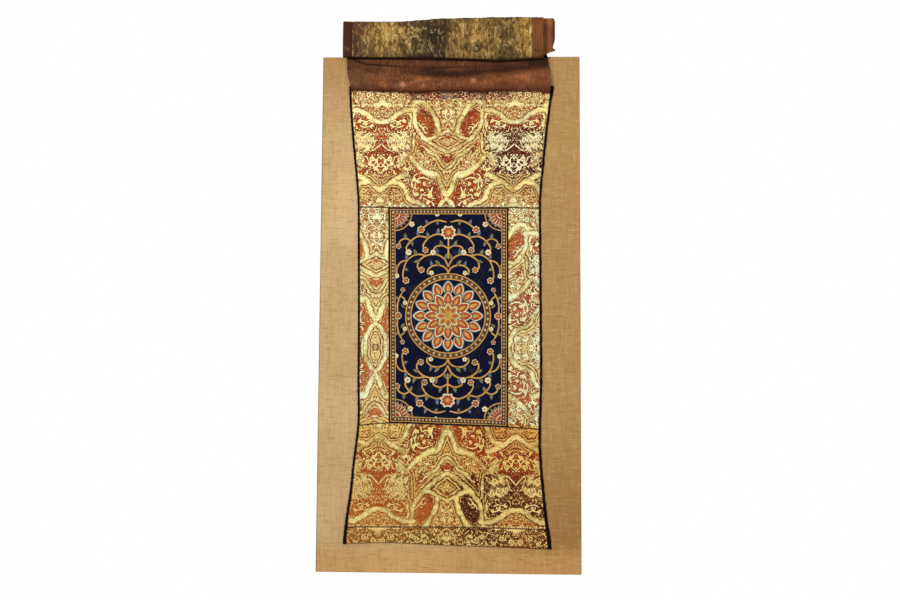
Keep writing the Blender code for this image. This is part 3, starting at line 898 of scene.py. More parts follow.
def brocadeFinish():
    zones = brocadeZones
    f = Finish("brocade", brocadeShades, 0.5, specular=0.08)
    ribbon, line, cloud = f.threeFields("gilt")
    ground, curled, top = f.threeFields("grounds")
    u, v, edge = f.threeFields("repeat")
    px, pz = f.acrossAndUp()
    drawn = f.node("ShaderNodeCombineXYZ", {"X": u, "Y": v}).outputs[0]
    patch = f.noise(f.place, 5.5, 2.0)
    worn = f.noise(f.place, 26.0, 3.0, 0.6)
    glitter = f.noise(f.place, 250.0, 2.0, 0.6)
    ribbon = ribbon + (worn * 5.0 + f.noise(f.place, 90.0, 2.0) * 4.0 - 4.5)      # uneven edges

    # how deep the red is: deepest at the lower right; under the header it is painted shadow of the header on
    # darker cloth
    shifted = (patch - 0.5) * 0.10
    moved = px + shifted
    low = f.ramp(moved, *zones["darkAcross"]) * f.ramp(pz + shifted, *zones["darkUp"])
    high = f.ramp(pz, *zones["highTop"]) * f.ramp(pz, *zones["highLow"]) * f.ramp(moved, *zones["highAcross"])
    maroonAndShade = f.ramp(pz + patch * 0.03, *zones["headerUp"]) * f.ramp(abs(px - 0.02), *zones["headerAcross"])
    underHeader = f.most(maroonAndShade, f.ramp(pz + patch * 0.02, *zones["headerRow"]))
    corner = f.ramp(px, *zones["cornerAcross"]) * f.ramp(pz, *zones["cornerUp"])
    inHem = f.ramp(pz, *zones["hem"])
    deep = f.most(f.most(low, high), underHeader)
    deep = f.most(deep, corner * 0.6)
    lit = f.ramp(f.noise(drawn, 0.045, 2.0), 0.45, 0.62)
    red = f.mix(lit, "red", "redLit")
    red = f.mix(f.ramp(worn, 0.50, 0.66, 0.0, 0.5), red, "maroon")
    onStrip = f.ramp(abs(pz + 0.687), *zones["stripUp"]) * f.ramp(abs(px - 0.002), *zones["stripAcross"])
    red = f.mix(onStrip * f.ramp(px, *zones["rust"], 0.6, 0.35), red, "rust")
    red = f.mix(deep, red, "maroon")
    pale = f.mix(underHeader, f.mix(deep, "curl", "cream"), "pink")
    dark = f.mix(deep, "redDark", "black")

    # gold ground: lines that follow the ribbons, fine curls elsewhere
    small = squiggles(f, drawn, 9.5, 1.0, 2.8)
    large = squiggles(f, drawn, 14.0, 0.9, 3.6)
    wander = (f.noise(drawn, 0.06, 1.0) - 0.5) * 7.0
    contour = f.sine(ribbon + wander)
    nearRibbon = f.ramp(ribbon + wander, 9.0, 13.0, 1.0, 0.0)
    wave = contour * nearRibbon + small * (1.0 - nearRibbon)
    gold = f.mix(f.ramp(f.noise(f.place, 9.0, 3.0), 0.40, 0.66), "gold", "goldDeep")
    gold = f.mix(onStrip * 0.5, gold, "stripGold")
    gold = f.mix(deep * 0.45 + low * 0.35, gold, "olive")
    gold = f.mix(f.ramp(wave, -0.3, -0.9, 0.0, 0.60), gold, pale)
    lines = f.ramp(wave + low * 0.35, 0.30, 0.75, 0.0, 0.90)
    base = f.mix(lines, gold, f.mix(deep, "goldLine", "black"))

    # places covered with curls, each pale with a dark edge, on gold and on red
    clear = f.ramp(line, 0.9, 2.2)
    curls = f.ramp(large, 0.10, 0.40) * clear
    edges = f.ramp(large, -0.55, -0.25) * clear
    topEdges = f.ramp(large, -0.15, 0.15) * clear
    topCurls = f.ramp(large, 0.50, 0.72) * clear
    onTop = f.mix(topEdges, f.mix(underHeader, f.mix(lit, "topGround", gold), "maroonAndShade"),
                  f.mix(underHeader, "goldLine", "black"))
    onTop = f.mix(topCurls, onTop, f.mix(underHeader, "curl", "pink"))
    base = f.mix(f.ramp(top, 0.5, -0.5), base, onTop)
    onRed = f.mix(curls, f.mix(edges, red, dark), pale)
    base = f.mix(f.ramp(curled, 0.5, -0.5), base, onRed)
    some = f.ramp(f.noise(drawn, 0.055, 1.0), 0.49, 0.55) * f.ramp(line, 2.0, 3.5)
    some = some * f.ramp(f.distance(drawn, (62.0, 112.0, 0.0)), 30.0, 42.0)      # not in the bare red ovals
    sparse = f.ramp(small, 0.45, 0.70) * some
    sparseEdges = f.ramp(small, 0.0, 0.3) * some
    plain = f.mix(sparse * 0.9, f.mix(sparseEdges * 0.7, red, dark), pale)
    base = f.mix(f.ramp(ground, 0.5, -0.5), base, plain)

    # clouds, greenish white with dark curls
    inCloud = f.ramp(cloud, 0.5, -0.5)
    puffs = f.ramp(large + high * 0.35 + low, -0.05, 0.30) * clear
    cloudFill = f.mix(puffs * 0.92, f.mix(lit, "cloud", "glint"),
                      f.mix(deep, "cloudLine", f.mix(low, "black", "maroon")))
    cloudFill = f.mix(f.ramp(large, 0.75, 0.92) * 0.9, cloudFill, red)
    cloudFill = f.mix(f.ramp(low, 0.2, 1.0, 0.0, 0.3), cloudFill, red)
    base = f.mix(inCloud, base, cloudFill)

    # ribbons: a pale middle between worn edges, each side drawn with a broken dark line
    broken = f.ramp(worn, 0.38, 0.56, 0.15, 1.0)
    face = f.ramp(ribbon, 0.4, -0.4) * (1.0 - inHem)
    rim = f.ramp(abs(ribbon - 0.7), 1.0, 0.4) * broken
    base = f.mix(f.most(rim * (0.7 - inHem), 0.0), base, "goldLine")
    band = f.mix(f.ramp(worn, 0.46, 0.64), "ribbon", "ribbonWorn")
    shining = f.ramp(f.noise(f.place, 17.0, 3.0), 0.50, 0.62, 0.0, 0.8)
    band = f.mix(shining * f.ramp(pz, *zones["shine"], 0.35, 1.0), band, "glint")
    band = f.mix(f.ramp(ribbon, -3.2, -0.6, 0.0, 0.75), band, "ribbonEdge")
    for inset, strength in ((1.9, 0.75), (4.2, 0.5)):
        inner = f.ramp(abs(ribbon + inset), 0.8, 0.3)
        band = f.mix(inner * broken * strength, band, "ribbonLine")
    band = f.mix(f.ramp(small, 0.45, 0.85, 0.0, 0.4), band, "ribbonLine")
    base = f.mix(face, base, band)
    worms = f.sine(f.noise(drawn, 0.062, 1.0) * (fullTurn * 4.2))
    worms = worms * 0.75 + large * 0.35
    hemCurls = f.ramp(worms, 0.46, 0.64) * clear
    hemEdges = f.ramp(worms, -0.45, -0.10) * clear
    onHem = f.mix(hemCurls, f.mix(hemEdges, f.mix(deep, "hemGround", "maroonAndShade"), dark), pale)
    base = f.mix(inHem * 0.92, base, onHem)
    base = f.mix(underHeader * 0.92, base, onTop)

    # stems, scrolls and petals, with a dark edge
    offRibbon = f.most(f.ramp(ribbon, -1.0, 0.5), inHem)
    lineEdge = f.ramp(line, 1.3, 0.6) * offRibbon
    base = f.mix(lineEdge * 0.85, base, f.mix(deep, "redDark", "black"))
    inLine = f.ramp(line, 0.3, -0.3) * offRibbon
    # the pale lines are dimmed by the painted shadow under the header
    inLine = inLine * (1.0 - underHeader * 0.7)
    lineShade = f.mix(underHeader, f.mix(deep, "curl", "white"), "pink")
    base = f.mix(inLine, base, lineShade)

    # glitter of the gilt threads painted as light and dark specks, fading and dust, strongest at the lower
    # left, and painted shade along the seams and the hem stitching
    base = f.mix(f.ramp(glitter, 0.50, 0.68, 0.0, 0.70), base, f.mix(0.5, base, "goldLine"))
    base = f.mix(f.ramp(glitter, 0.46, 0.32, 0.0, 0.60), base, f.mix(0.6, base, "white"))
    leftLow = f.ramp(px, *zones["dustAcross"]) * f.ramp(pz, *zones["dustUp"])
    faded = f.ramp(f.noise(f.place, 7.0, 3.0, 0.55), 0.50, 0.75, 0.0, 0.25) + leftLow * 0.38
    faded = faded * (1.0 - face * 0.6)
    base = f.mix(faded, base, "dust")
    base = f.mix(f.ramp(edge, 2.4, 0.4, 0.0, 0.85), base, "seamShade")
    tone = f.mix(f.ramp(px, *zones["toneAcross"]), "toneLeft", "toneRight")
    tone = f.mix(f.ramp(pz + px * 0.039, *zones["toneLow"]), "toneSides", tone)     # along the slanting seam
    tone = f.mix(f.ramp(pz, *zones["toneTop"]), tone, "toneTop")
    base = f.mix(1.0 - face * 0.25, base, tone, "MULTIPLY")
    thread = threads(f, 0.55 * mm, 0.45 * mm)
    base = f.mix(0.22, base, thread, "OVERLAY")
    f.paint(base)
    gilt = f.most(f.most(face, inLine), inCloud * 0.8)
    f.feed(f.shader.inputs["Metallic"], gilt * 0.2)
    f.feed(f.shader.inputs["Roughness"], f.ramp(gilt, 0.0, 1.0, 0.72, 0.42))
    f.bump(thread * 0.35 + wave * -0.15, 0.0004, 0.6)
    return f.material


def threads(f, pitchX, pitchZ):
    # a plain weave of thread tops, from 0 to 1
    px, pz = f.acrossAndUp()
    return f.ramp(f.sine(px * (fullTurn / pitchX)) * f.sine(pz * (fullTurn / pitchZ)), -1.0, 1.0)


giltCloth = brocadeFinish()
gap = outline["seamGap"]
makeBrocadeTop()
makeStrip("brocadeLeftStrip", "brocade_left", brocadeLeft, lambda z: pictureLeft(z) - gap,
          panels["leftStripAxis"])
makeStrip("brocadeRightStrip", "brocade_right", lambda z: pictureRight(z) + gap, brocadeRight,
          panels["rightStripAxis"])
makeBrocadeBottom()
print("brocade panels are woven")


# Picture. A made-up ornament on indigo: a lotus wheel, scrolling stems and a beaded border. One
# quarter is drawn, a across from the middle and b up from it, in mm.

picture = {
    "centre": (-3.9, -688.0),
    "flat": (0.314, 0.572),
    "grid": (312, 568, 1.5),        # width, height and mm between the points
    "wheel": (       # petals in the ring, inner and outer radius, half width, ink
        (16, 56, 94, 15.0, "blue"),
        (16, 57, 91, 13.0, "cream"),
        (16, 58, 88, 10.4, "red"),
        (16, 60, 82, 4.6, "gold"),
        (12, 26, 66, 14.6, "teal"),
        (12, 27, 63, 12.6, "cream"),
        (12, 28, 60, 10.0, "red"),
        (12, 31, 53, 4.0, "gold"),
        (8, 8, 36, 11.0, "brown"),
        (8, 9, 34, 9.4, "cream"),
        (8, 10, 31, 7.0, "gold"),
        (8, 12, 26, 3.0, "red"),
    ),
    "circles": (     # radius, half width, ink
        (96.5, 1.6, "gold"), (110, 1.4, "gold"),
    ),
    "beadRings": ((103, 3.0, 44, "cream"), (103, 1.4, 44, "red")),
    "stems": (       # half width, then places (a, b)
        (1.5, ((0, 112), (6, 124), (22, 132), (42, 130), (54, 118), (52, 108))),
        (1.5, ((0, 128), (10, 148), (30, 160), (56, 158), (76, 144), (80, 126), (70, 120))),
        (1.4, ((56, 158), (84, 160), (106, 146), (116, 124), (118, 100), (110, 92))),
        (1.4, ((106, 146), (124, 140), (134, 124), (134, 108))),
        (1.6, ((0, 150), (0, 180), (0, 204))),
        (1.5, ((0, 176), (16, 184), (34, 180), (40, 168))),
        (1.5, ((8, 208), (28, 214), (52, 204), (66, 184), (60, 174))),
        (1.5, ((52, 204), (78, 208), (98, 196), (110, 178), (104, 168))),
        (1.4, ((98, 196), (112, 202), (126, 196), (130, 184))),
        (1.5, ((6, 246), (30, 250), (54, 240), (70, 226))),
        (1.4, ((120, 60), (128, 44), (132, 24), (130, 0))),
        (1.3, ((124, 52), (114, 44), (112, 34))),
    ),
    "leaves": (      # root, tip, half width, ink
        ((22, 132), (34, 146), 4.6, "teal"), ((42, 130), (46, 144), 4.2, "blue"), ((10, 148), (2, 164),
                                                                                   4.2, "teal"),
        ((30, 160), (30, 177), 4.8, "blue"), ((76, 144), (90, 140), 4.4, "teal"), ((84, 160), (90, 174),
                                                                                   4.6, "teal"),
        ((106, 146), (112, 160), 4.4, "blue"), ((116, 124), (104, 118), 4.0, "teal"),
        ((134, 124), (141, 138), 3.8, "teal"),
        ((16, 184), (22, 198), 4.4, "teal"), ((28, 214), (26, 230), 4.8, "blue"), ((52, 204), (56, 220),
                                                                                   4.6, "teal"),
        ((78, 208), (82, 224), 4.6, "blue"), ((98, 196), (92, 182), 4.2, "teal"), ((112, 202), (114, 216),
                                                                                   4.2, "teal"),
        ((30, 250), (28, 238), 4.2, "teal"), ((54, 240), (60, 252), 4.2, "blue"), ((128, 44), (140, 50),
                                                                                   3.8, "teal"),
        ((132, 24), (141, 30), 3.6, "blue"), ((122, 30), (112, 20), 3.8, "teal"), ((8, 232), (18, 224),
                                                                                   3.6, "teal"),
    ),
    "blossoms": (    # centre, radius, petals, ink
        (70, 120, 8.5, 6, "red"), (110, 92, 9.0, 6, "red"),
        (40, 166, 7.5, 5, "cream"),
        (60, 172, 8.5, 6, "red"), (104, 166, 8.5, 6, "cream"), (130, 182, 7.5, 5, "red"),
        (134, 104, 6.5, 5, "cream"),
        (72, 226, 10.0, 7, "red"), (112, 34, 6.0, 5, "cream"), (130, 0, 10.0, 8, "red"),
        (118, 68, 6.5, 5, "red"),
        (0, 218, 20.0, 9, "red"), (44, 112, 6.5, 5, "cream"), (96, 240, 7.5, 5, "cream"),
        (30, 266, 6.0, 5, "cream"),
    ),
    "corners": (     # radius from the corner, half width, ink
        (44, 1.4, "gold"), (31, 1.1, "gold"), (13, 13.0, "red"), (13, 1.2, "cream"),
    ),
    "shades": {
        "ground": (13, 17, 40), "groundWorn": (40, 36, 46), "cream": (240, 224, 176), "gold": (208, 158, 82),
        "red": (186, 78, 46), "teal": (98, 122, 98), "blue": (74, 108, 142), "brown": (104, 64, 40),
        "outline": (24, 16, 18), "edge": (22, 15, 16),
    },
    "inks": ("brown", "blue", "teal", "red", "gold", "cream"),      # in the order they are painted
    "rubbedShare": 0.62,
}


def petalRing(x, z, count, inner, outer, halfWidth):
    angle, radius = np.arctan2(z, x), np.hypot(x, z)
    turn = fullTurn / count
    angle = np.mod(angle + turn / 2, turn) - turn / 2
    along, across = radius * np.cos(angle), np.abs(radius * np.sin(angle))
    share = np.clip((along - inner) / (outer - inner), 0, 1)
    width = halfWidth * np.sin(math.pi * share ** 0.8) ** 0.7
    return np.maximum(across - width, np.abs(along - (inner + outer) / 2) - (outer - inner) / 2)


def pictureInks(x, z, toSides, toEnds):
    inks = {name: np.full(x.shape, farAway) for name in picture["inks"]}

    def lay(name, distance):
        np.minimum(inks[name], distance, out=inks[name])

    def cover(distance):
        # a motif hides what lies under it
        for field in inks.values():
            np.maximum(field, -distance, out=field)

    cx, cz = picture["centre"]
    right, up = x - cx, z - cz
    a, b = np.abs(right), np.abs(up)
    for halfWidth, places in picture["stems"]:
        addStroke(inks["gold"], a, b, places, halfWidth + 0.5, taper=0.35)
    for root, tip, halfWidth, ink in picture["leaves"]:
        shape = leafShape(a, b, root, tip, halfWidth)
        cover(shape)
        lay(ink, shape)
        lay("gold", np.abs(leafShape(a, b, root, tip, halfWidth * 0.12)) - 0.5)
    for ca, cb, radius, petals, ink in picture["blossoms"]:
        flower(lay, cover, a - ca, b - cb, radius, petals, ink)
    radius = np.hypot(right, up)
    cover(radius - 97)
    lay("brown", np.abs(radius - 103) - 6.5)
    for size, halfWidth, ink in picture["circles"]:
        lay(ink, np.abs(radius - size) - halfWidth)
    for size, dot, count, ink in picture["beadRings"]:
        angle = np.mod(np.arctan2(up, right) * count / fullTurn, 1) - 0.5
        bead = np.hypot(radius - size, angle * fullTurn * size / count) - dot
        cover(bead)
        lay(ink, bead)
    for count, inner, outer, halfWidth, ink in picture["wheel"]:
        shape = petalRing(right, up, count, inner, outer, halfWidth)
        cover(shape)
        lay(ink, shape)
    disc = radius - 11.5
    cover(disc)
    lay("gold", disc)
    for count, size in ((6, 5.5), (1, 0)):
        angle = np.mod(np.arctan2(up, right) * count / fullTurn, 1) - 0.5
        lay("brown", np.hypot(radius - size, angle * fullTurn * size / count) - 1.5)

    # quarter roundels in the corners, then the border
    cornered = np.hypot(toSides - 16, toEnds - 16)
    inside = np.minimum(toSides, toEnds) - 16
    for k in range(5):
        angle = math.radians(9 + 18 * k)
        root = (16 + 16 * math.cos(angle), 16 + 16 * math.sin(angle))
        tip = (16 + 42 * math.cos(angle), 16 + 42 * math.sin(angle))
        for halfWidth, ink in ((6.0, "blue"), (4.4, "cream"), (2.6, "red")):
            shape = leafShape(toSides, toEnds, root, tip, halfWidth)
            cover(shape)
            lay(ink, shape)
    for size, halfWidth, ink in picture["corners"]:
        lay(ink, np.maximum(np.abs(cornered - size) - halfWidth, -inside))
    edge = np.minimum(toSides, toEnds)
    cover(edge - 16)
    lay("brown", np.abs(edge - 10.5) - 4.2)
    for place, halfWidth in ((4.2, 1.0), (16.0, 1.1)):
        lay("gold", np.abs(edge - place) - halfWidth)
    run = np.where(toSides < toEnds, b, a)
    pitch = 9.0
    bead = np.hypot(edge - 10.3, np.mod(run + pitch / 2, pitch) - pitch / 2)
    lay("cream", bead - 2.3)
    cover(bead - 1.0)
    lay("red", bead - 1.0)
    return inks


def flower(lay, cover, a, b, radius, petals, ink):
    # a small open blossom with a paler rim and a gold eye
    distance, angle = np.hypot(a, b), np.arctan2(b, a) + 0.3
    lobes = radius * (0.74 + 0.26 * np.abs(np.cos(petals * angle / 2)))
    cover(distance - lobes)
    lay("cream", distance - lobes)
    if ink == "red":
        cover(distance - lobes * 0.76)
        lay("red", distance - lobes * 0.76)
    cover(distance - radius * 0.30)
    lay("gold", distance - radius * 0.30)
    lay("brown", distance - radius * 0.13)


def makePicture():
    gap = outline["seamGap"]
    x, z = flatGrid(
        pictureLeft, pictureRight,
        lambda x, t: (lowerSeam(x) + gap) * (1 - t) + (topSeam(x) - gap) * t,
        *picture["grid"],
    )
    toSides = np.minimum(x - x[:, :1], x[:, -1:] - x)
    toEnds = np.minimum(z - z[:1, :], z[-1:, :] - z)
    edge = np.minimum(toSides, toEnds)
    inks = pictureInks(x, z, toSides, toEnds)
    creases = 0.14 * ripple(x, z, 46, 9, 11) + 0.10 * ripple(x, z, 14, 60, 12)
    rounded = 0.7 * np.clip(1 - edge / 2.0, 0, 1) ** 2
    back = cloth["boardFace"] + sway(x, z)
    front = back + cloth["picture"] + creases - rounded
    piece = panelPiece("picturePanel", x, z, front, back, inks | {"edge": edge})
    piece.data.materials.append(pictureFinish())
    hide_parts("picture_panel")
    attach(piece, "root")


def pictureFinish():
    shades = {"worn " + ink: tuple(picture["rubbedShare"] * part for part in picture["shades"][ink])
              for ink in picture["inks"]}
    f = Finish("painted cotton", picture["shades"] | shades, 0.8)
    rubbed = f.noise(f.place, 30.0, 4.0, 0.65)
    base = f.mix(f.ramp(rubbed, 0.52, 0.78), "ground", "groundWorn")
    for ink in picture["inks"]:
        # thin dark line round each shape, then the paint, thinner where it has rubbed
        shape = f.field(ink)
        base = f.mix(f.ramp(shape, 1.0, 0.4) * 0.7, base, "outline")
        thin = f.ramp(f.noise(f.place, 55.0 + 7 * len(ink), 3.0), 0.35, 0.75, 0.0, 0.5)
        paint = f.mix(thin, ink, "worn " + ink)
        held = f.ramp(shape + f.ramp(rubbed, 0.60, 0.85, 0.0, 0.9), 0.35, -0.35)
        base = f.mix(held, base, paint)
    # painted shade along the panel's seams
    base = f.mix(f.ramp(f.field("edge"), 2.2, 0.5, 0.0, 0.7), base, "edge")
    weave = threads(f, 0.7 * mm, 0.6 * mm)
    f.paint(f.mix(0.15, base, weave, "OVERLAY"))
    f.bump(weave + rubbed * 1.5, 0.0002, 0.5)
    return f.material


makePicture()
print("picture is painted")


# Bindings: narrow dark strips folded over the long edges

binding = {
    "columns": 7, "rows": 750,
    "stitched": (-1262, -104), "stitchTurn": 0.35,      # from this height to this, and their slant
    "flat": (0.0105, 1.226), "area": 0.0098,     # the strip is cut wider towards the bottom
    "shades": {"cotton": (22, 14, 12), "worn": (78, 50, 36), "deep": (8, 5, 5)},
}


def makeBinding(name, node, leftOf, rightOf, outerIsLeft, seed):
    u, v = np.meshgrid(np.linspace(0, 1, binding["columns"]), np.linspace(0, 1, binding["rows"]))
    x, z = np.zeros_like(u), np.zeros_like(u)
    for _ in range(4):
        z = lowerEdge(x) * (1 - v) + outline["bindingTop"] * v
        x = leftOf(z) * (1 - u) + rightOf(z) * u
    outward = (1 - u) if outerIsLeft else u
    side = -1 if outerIsLeft else 1
    x = x + side * outward * 0.5 * ripple(np.zeros_like(z), z, 1, 17, seed)
    gathers = 0.13 * ripple(x, z, 4, 5, seed + 1) + 0.25 * ripple(x, z, 30, 24, seed + 2)
    crown = 0.55 + 0.45 * np.sin(math.pi * u) ** 0.7
    back = cloth["boardFace"] + sway(x, z)
    front = back + cloth["binding"] * crown + gathers
    piece = panelPiece(name, x, z, front, back, {"across": u})
    piece.data.materials.append(bindingCloth)
    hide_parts(node)
    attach(piece, "root")
    heights = np.arange(*binding["stitched"], stitching["bindingPitch"])
    inner = (rightOf if outerIsLeft else leftOf)(heights)
    turns = np.full(len(heights), binding["stitchTurn"] * side)
    row = makeStitches(name + "Stitches", piece, zip(inner, heights, turns))
    return piece


def bindingFinish():
    f = Finish("binding", binding["shades"], 0.85)
    worn = f.noise(f.stretched(f.place, (1.0, 1.0, 0.35)), 160.0, 3.0, 0.6)
    base = f.mix(f.ramp(worn, 0.35, 0.62), "deep", "cotton")
    f.paint(f.mix(f.ramp(worn, 0.62, 0.80), base, "worn"))
    f.bump(threads(f, 0.5 * mm, 0.5 * mm) + worn, 0.0003, 0.6)
    return f.material


bindingCloth = bindingFinish()
makeBinding("bindingLeft", "binding_left", leftEdge, lambda z: brocadeLeft(z) - gap, True, 21)
makeBinding("bindingRight", "binding_right", lambda z: brocadeRight(z) + gap, rightEdge, False, 31)
print("bindings are sewn on")


# Header and veil: open sheets along a fold line, given their thickness afterwards

header = {
    "back": 22.4, "return": 26.0, "thickness": 1.0,
    "tabRise": 11.5,        # how much higher the end shows to the right of the veil
    "columns": 200, "finer": 8,
    "flat": (0.545, 0.262),
    "stations": (    # across, lower edge, ridge height, valley height, ridge depth, valley depth
        (-275, -91.0, -69.0, -23.0, 28.2, 25.8),
        (-182, -94.5, -77.0, -27.0, 30.0, 25.0),
        (-95, -98.5, -80.0, -39.8, 31.8, 24.2),
        (-12, -95.5, -78.0, -45.8, 32.8, 23.8),
        (90, -96.5, -75.0, -40.0, 32.8, 24.0),
        (180, -93.5, -65.0, -29.0, 31.8, 24.4),
        (262, -98.5, -59.0, -19.0, 30.0, 25.0),
    ),
    "sides": (       # height, left edge, right edge
        (-105, -264.0, 262.0), (-80, -265.0, 262.5), (-44, -274.8, 260.0), (0, -274.2, 254.4),
        (6, -274.4, 254.0),
        (15, -274.8, 275.6), (22, -275.2, 269.2), (40, -276.0, 274.2), (62, -276.5, 274.6),
        (82, -276.5, 274.4),
        (90, -275.0, 271.0),
    ),
    "shades": {
        "silk": (84, 44, 24), "silkLit": (150, 92, 54), "clouded": (62, 34, 20), "faded": (176, 110, 66),
        "middle": (150, 78, 40), "right": (176, 112, 74), "left": (70, 50, 34), "spot": (214, 146, 106),
        "upperShade": (62, 34, 26), "shade": (12, 7, 6), "valley": (22, 12, 9), "tabEdge": (60, 30, 18),
        "pleat": (24, 13, 9), "roll": (52, 18, 12),
    },
    "pleat": ((-268, -2), (-250, -14), (-225, -22), (-140, -28), (-60, -32)),      # across, height
    "dip": ((-150, -42), (-60, -46), (60, -43), (150, -38)),
    "spots": ((-0.127, -0.079), (0.060, -0.068)),      # pale stains, in metres
    "tab": (0.236, 0.246), "tabEdge": (0.262, 0.2745),
}
veil = {
    "thickness": 1.0, "pitch": 3.4, "back": 24.2, "front": 37.8, "tuck": 30.0, "bulge": 1.6,
    "clearance": 4.0, "rise": 6.0, "finer": 3, "step": 2.2,
    "ends": (-285.0, 243.5), "seams": (-260.9, 213.5), "seamGap": 0.3,
    "flat": {
        "veilCentre": (0.474, 0.425), "veilBorderLeft": (0.0245, 0.415), "veilBorderRight": (0.030, 0.43),
    },
    "stations": (    # across, top, lower edge
        (-285.0, 91.4, -6.2), (-220, 91.0, -7.4), (-135, 91.1, -7.7), (-29, 98.5, -9.2),
        (70, 100.4, -12.2), (129, 101.7, -14.6), (200, 101.6, -10.6), (243.5, 101.0, -6.7),
    ),
}


def smoothRows(rows, finer):
    # more points along the fold line, on smooth curves through the given ones
    p = np.array(rows)
    ends = np.concatenate([(2 * p[0] - p[1])[None], p, (2 * p[-1] - p[-2])[None]])
    fine = []
    for k in range(len(p) - 1):
        a, b, c, d = ends[k:k + 4]
        for t in np.linspace(0, 1, finer, endpoint=False):
            fine.append(catmullRom(a, b, c, d, t))
    fine.append(p[-1])
    return np.array(fine)


def edgeRipple(x, size, seed):
    # unevenness along a fold line only
    return ripple(x, np.zeros_like(x), size, 1, seed)


def openSheet(name, x, depth, z, thickness, fields):
    rows, columns = x.shape
    points = np.stack([x, -depth, z], axis=-1).reshape(-1, 3)
    piece = meshFrom(name, points, gridFaces(rows, columns))
    for title, values in fields.items():
        addField(piece, title, values)
    bpy.ops.object.select_all(action="DESELECT")
    bpy.context.view_layer.objects.active = piece
    piece.select_set(True)
    solid = piece.modifiers.new("thickness", "SOLIDIFY")
    solid.thickness = thickness * mm
    solid.offset = 0
    bpy.ops.object.modifier_apply(modifier=solid.name)
    return piece


def headerLine(x):
    # depth and height of each fold point, for every place across
    low, ridgeZ, valleyZ, ridge, valley = (readTable(header["stations"], x, k) for k in range(1, 6))
    back = np.full_like(x, header["back"])
    turn = (ridge - back) * 0.42
    crest = valley + 1.4
    depths = [
        back, back, back + turn * 0.25, back + turn * 0.95, back + turn * 1.75,
        (back + 2 * turn) * 0.25 + ridge * 0.75, ridge, ridge * 0.70 + valley * 0.30,
        ridge * 0.20 + valley * 0.80, valley, crest, crest * 0.45 + back * 0.55,
    ]
    heights = [
        low + header["return"], low + turn * 1.7, low + turn * 0.5, low, low + turn * 0.45,
        (low + ridgeZ) / 2, ridgeZ, ridgeZ * 0.65 + valleyZ * 0.35,
        ridgeZ * 0.30 + valleyZ * 0.70, valleyZ, valleyZ / 2, np.zeros_like(x),
    ]
    for row in header["sides"]:
        if row[0] > 0:
            depths.append(back)
            heights.append(np.full_like(x, float(row[0])))
    return depths, heights


def makeHeader():
    places = [row[0] for row in header["sides"]]
    lefts, rights = ([row[k] for row in header["sides"]] for k in (1, 2))
    u = np.linspace(0, 1, header["columns"])
    count = len(headerLine(u)[0])
    xRows, depthRows, zRows = [], [], []
    for k in range(count):
        x = np.zeros_like(u)
        for _ in range(4):
            depths, heights = headerLine(x)
            z = heights[k]
            x = np.interp(z, places, lefts) * (1 - u) + np.interp(z, places, rights) * u
        xRows.append(x)
        depthRows.append(depths[k])
        zRows.append(z)
    x, depth, z = (smoothRows(rows, header["finer"]) for rows in (xRows, depthRows, zRows))
    k = np.linspace(0, count - 1, len(x))[:, None] * np.ones_like(u)[None, :]
    onFront = np.clip((k - 3.5) / 1.5, 0, 1) * np.clip((12.5 - k) / 2.0, 0, 1)
    onRoll = np.exp(-((k - 3.8) / 1.4) ** 2)
    wrinkles = 0.35 * ripple(x, z, 9, 60, 41) + 0.30 * ripple(x, z, 26, 30, 42)
    slack = 0.9 * ripple(x, z, 120, 14, 43)
    pleatZ = np.interp(x, *zip(*header["pleat"]))
    inPleat = np.exp(-((z - pleatZ) / 3.2) ** 2) * np.clip((-90 - x) / 60, 0, 1)
    dipZ = np.interp(x, *zip(*header["dip"]))
    inDip = np.exp(-((z - dipZ - 14) / 2.6) ** 2) * np.clip(1 - np.abs(x + 5) / 130, 0, 1)
    depth = depth + onFront * (wrinkles + slack - 0.9 * inPleat - 0.7 * inDip)
    z = z + header["tabRise"] * np.clip((x - 215) / 25, 0, 1) * np.clip((z - 20) / 70, 0, 1)
    z = z + onRoll * (1.1 * edgeRipple(x, 16, 44) + 0.7 * edgeRipple(x, 6, 45))
    valleyShare = np.exp(-((k - 8.7) / 1.4) ** 2)
    upper = np.clip((k - 9.3) / 1.2, 0, 1)
    toVeil = z - readTable(veil["stations"], x, 2)
    underVeil = np.clip(1 + toVeil / 4.5, 0, 1) * np.clip(1 - (toVeil - 6) / 8, 0, 1)
    piece = openSheet("headerSilk", x, depth, z, header["thickness"], {
        "valley": valleyShare, "upper": upper, "pleat": np.maximum(inPleat, inDip), "underVeil": underVeil,
        "roll": onRoll,
    })
    piece.data.materials.append(headerFinish())
    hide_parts("veil_header")
    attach(piece, "root")


def silkStreaks(f, fineness, height):
    # noise drawn out along the cloth's upright threads
    return f.noise(f.stretched(f.place, (1.0, 1.0, 1.0 / height)), fineness, 4.0, 0.6)


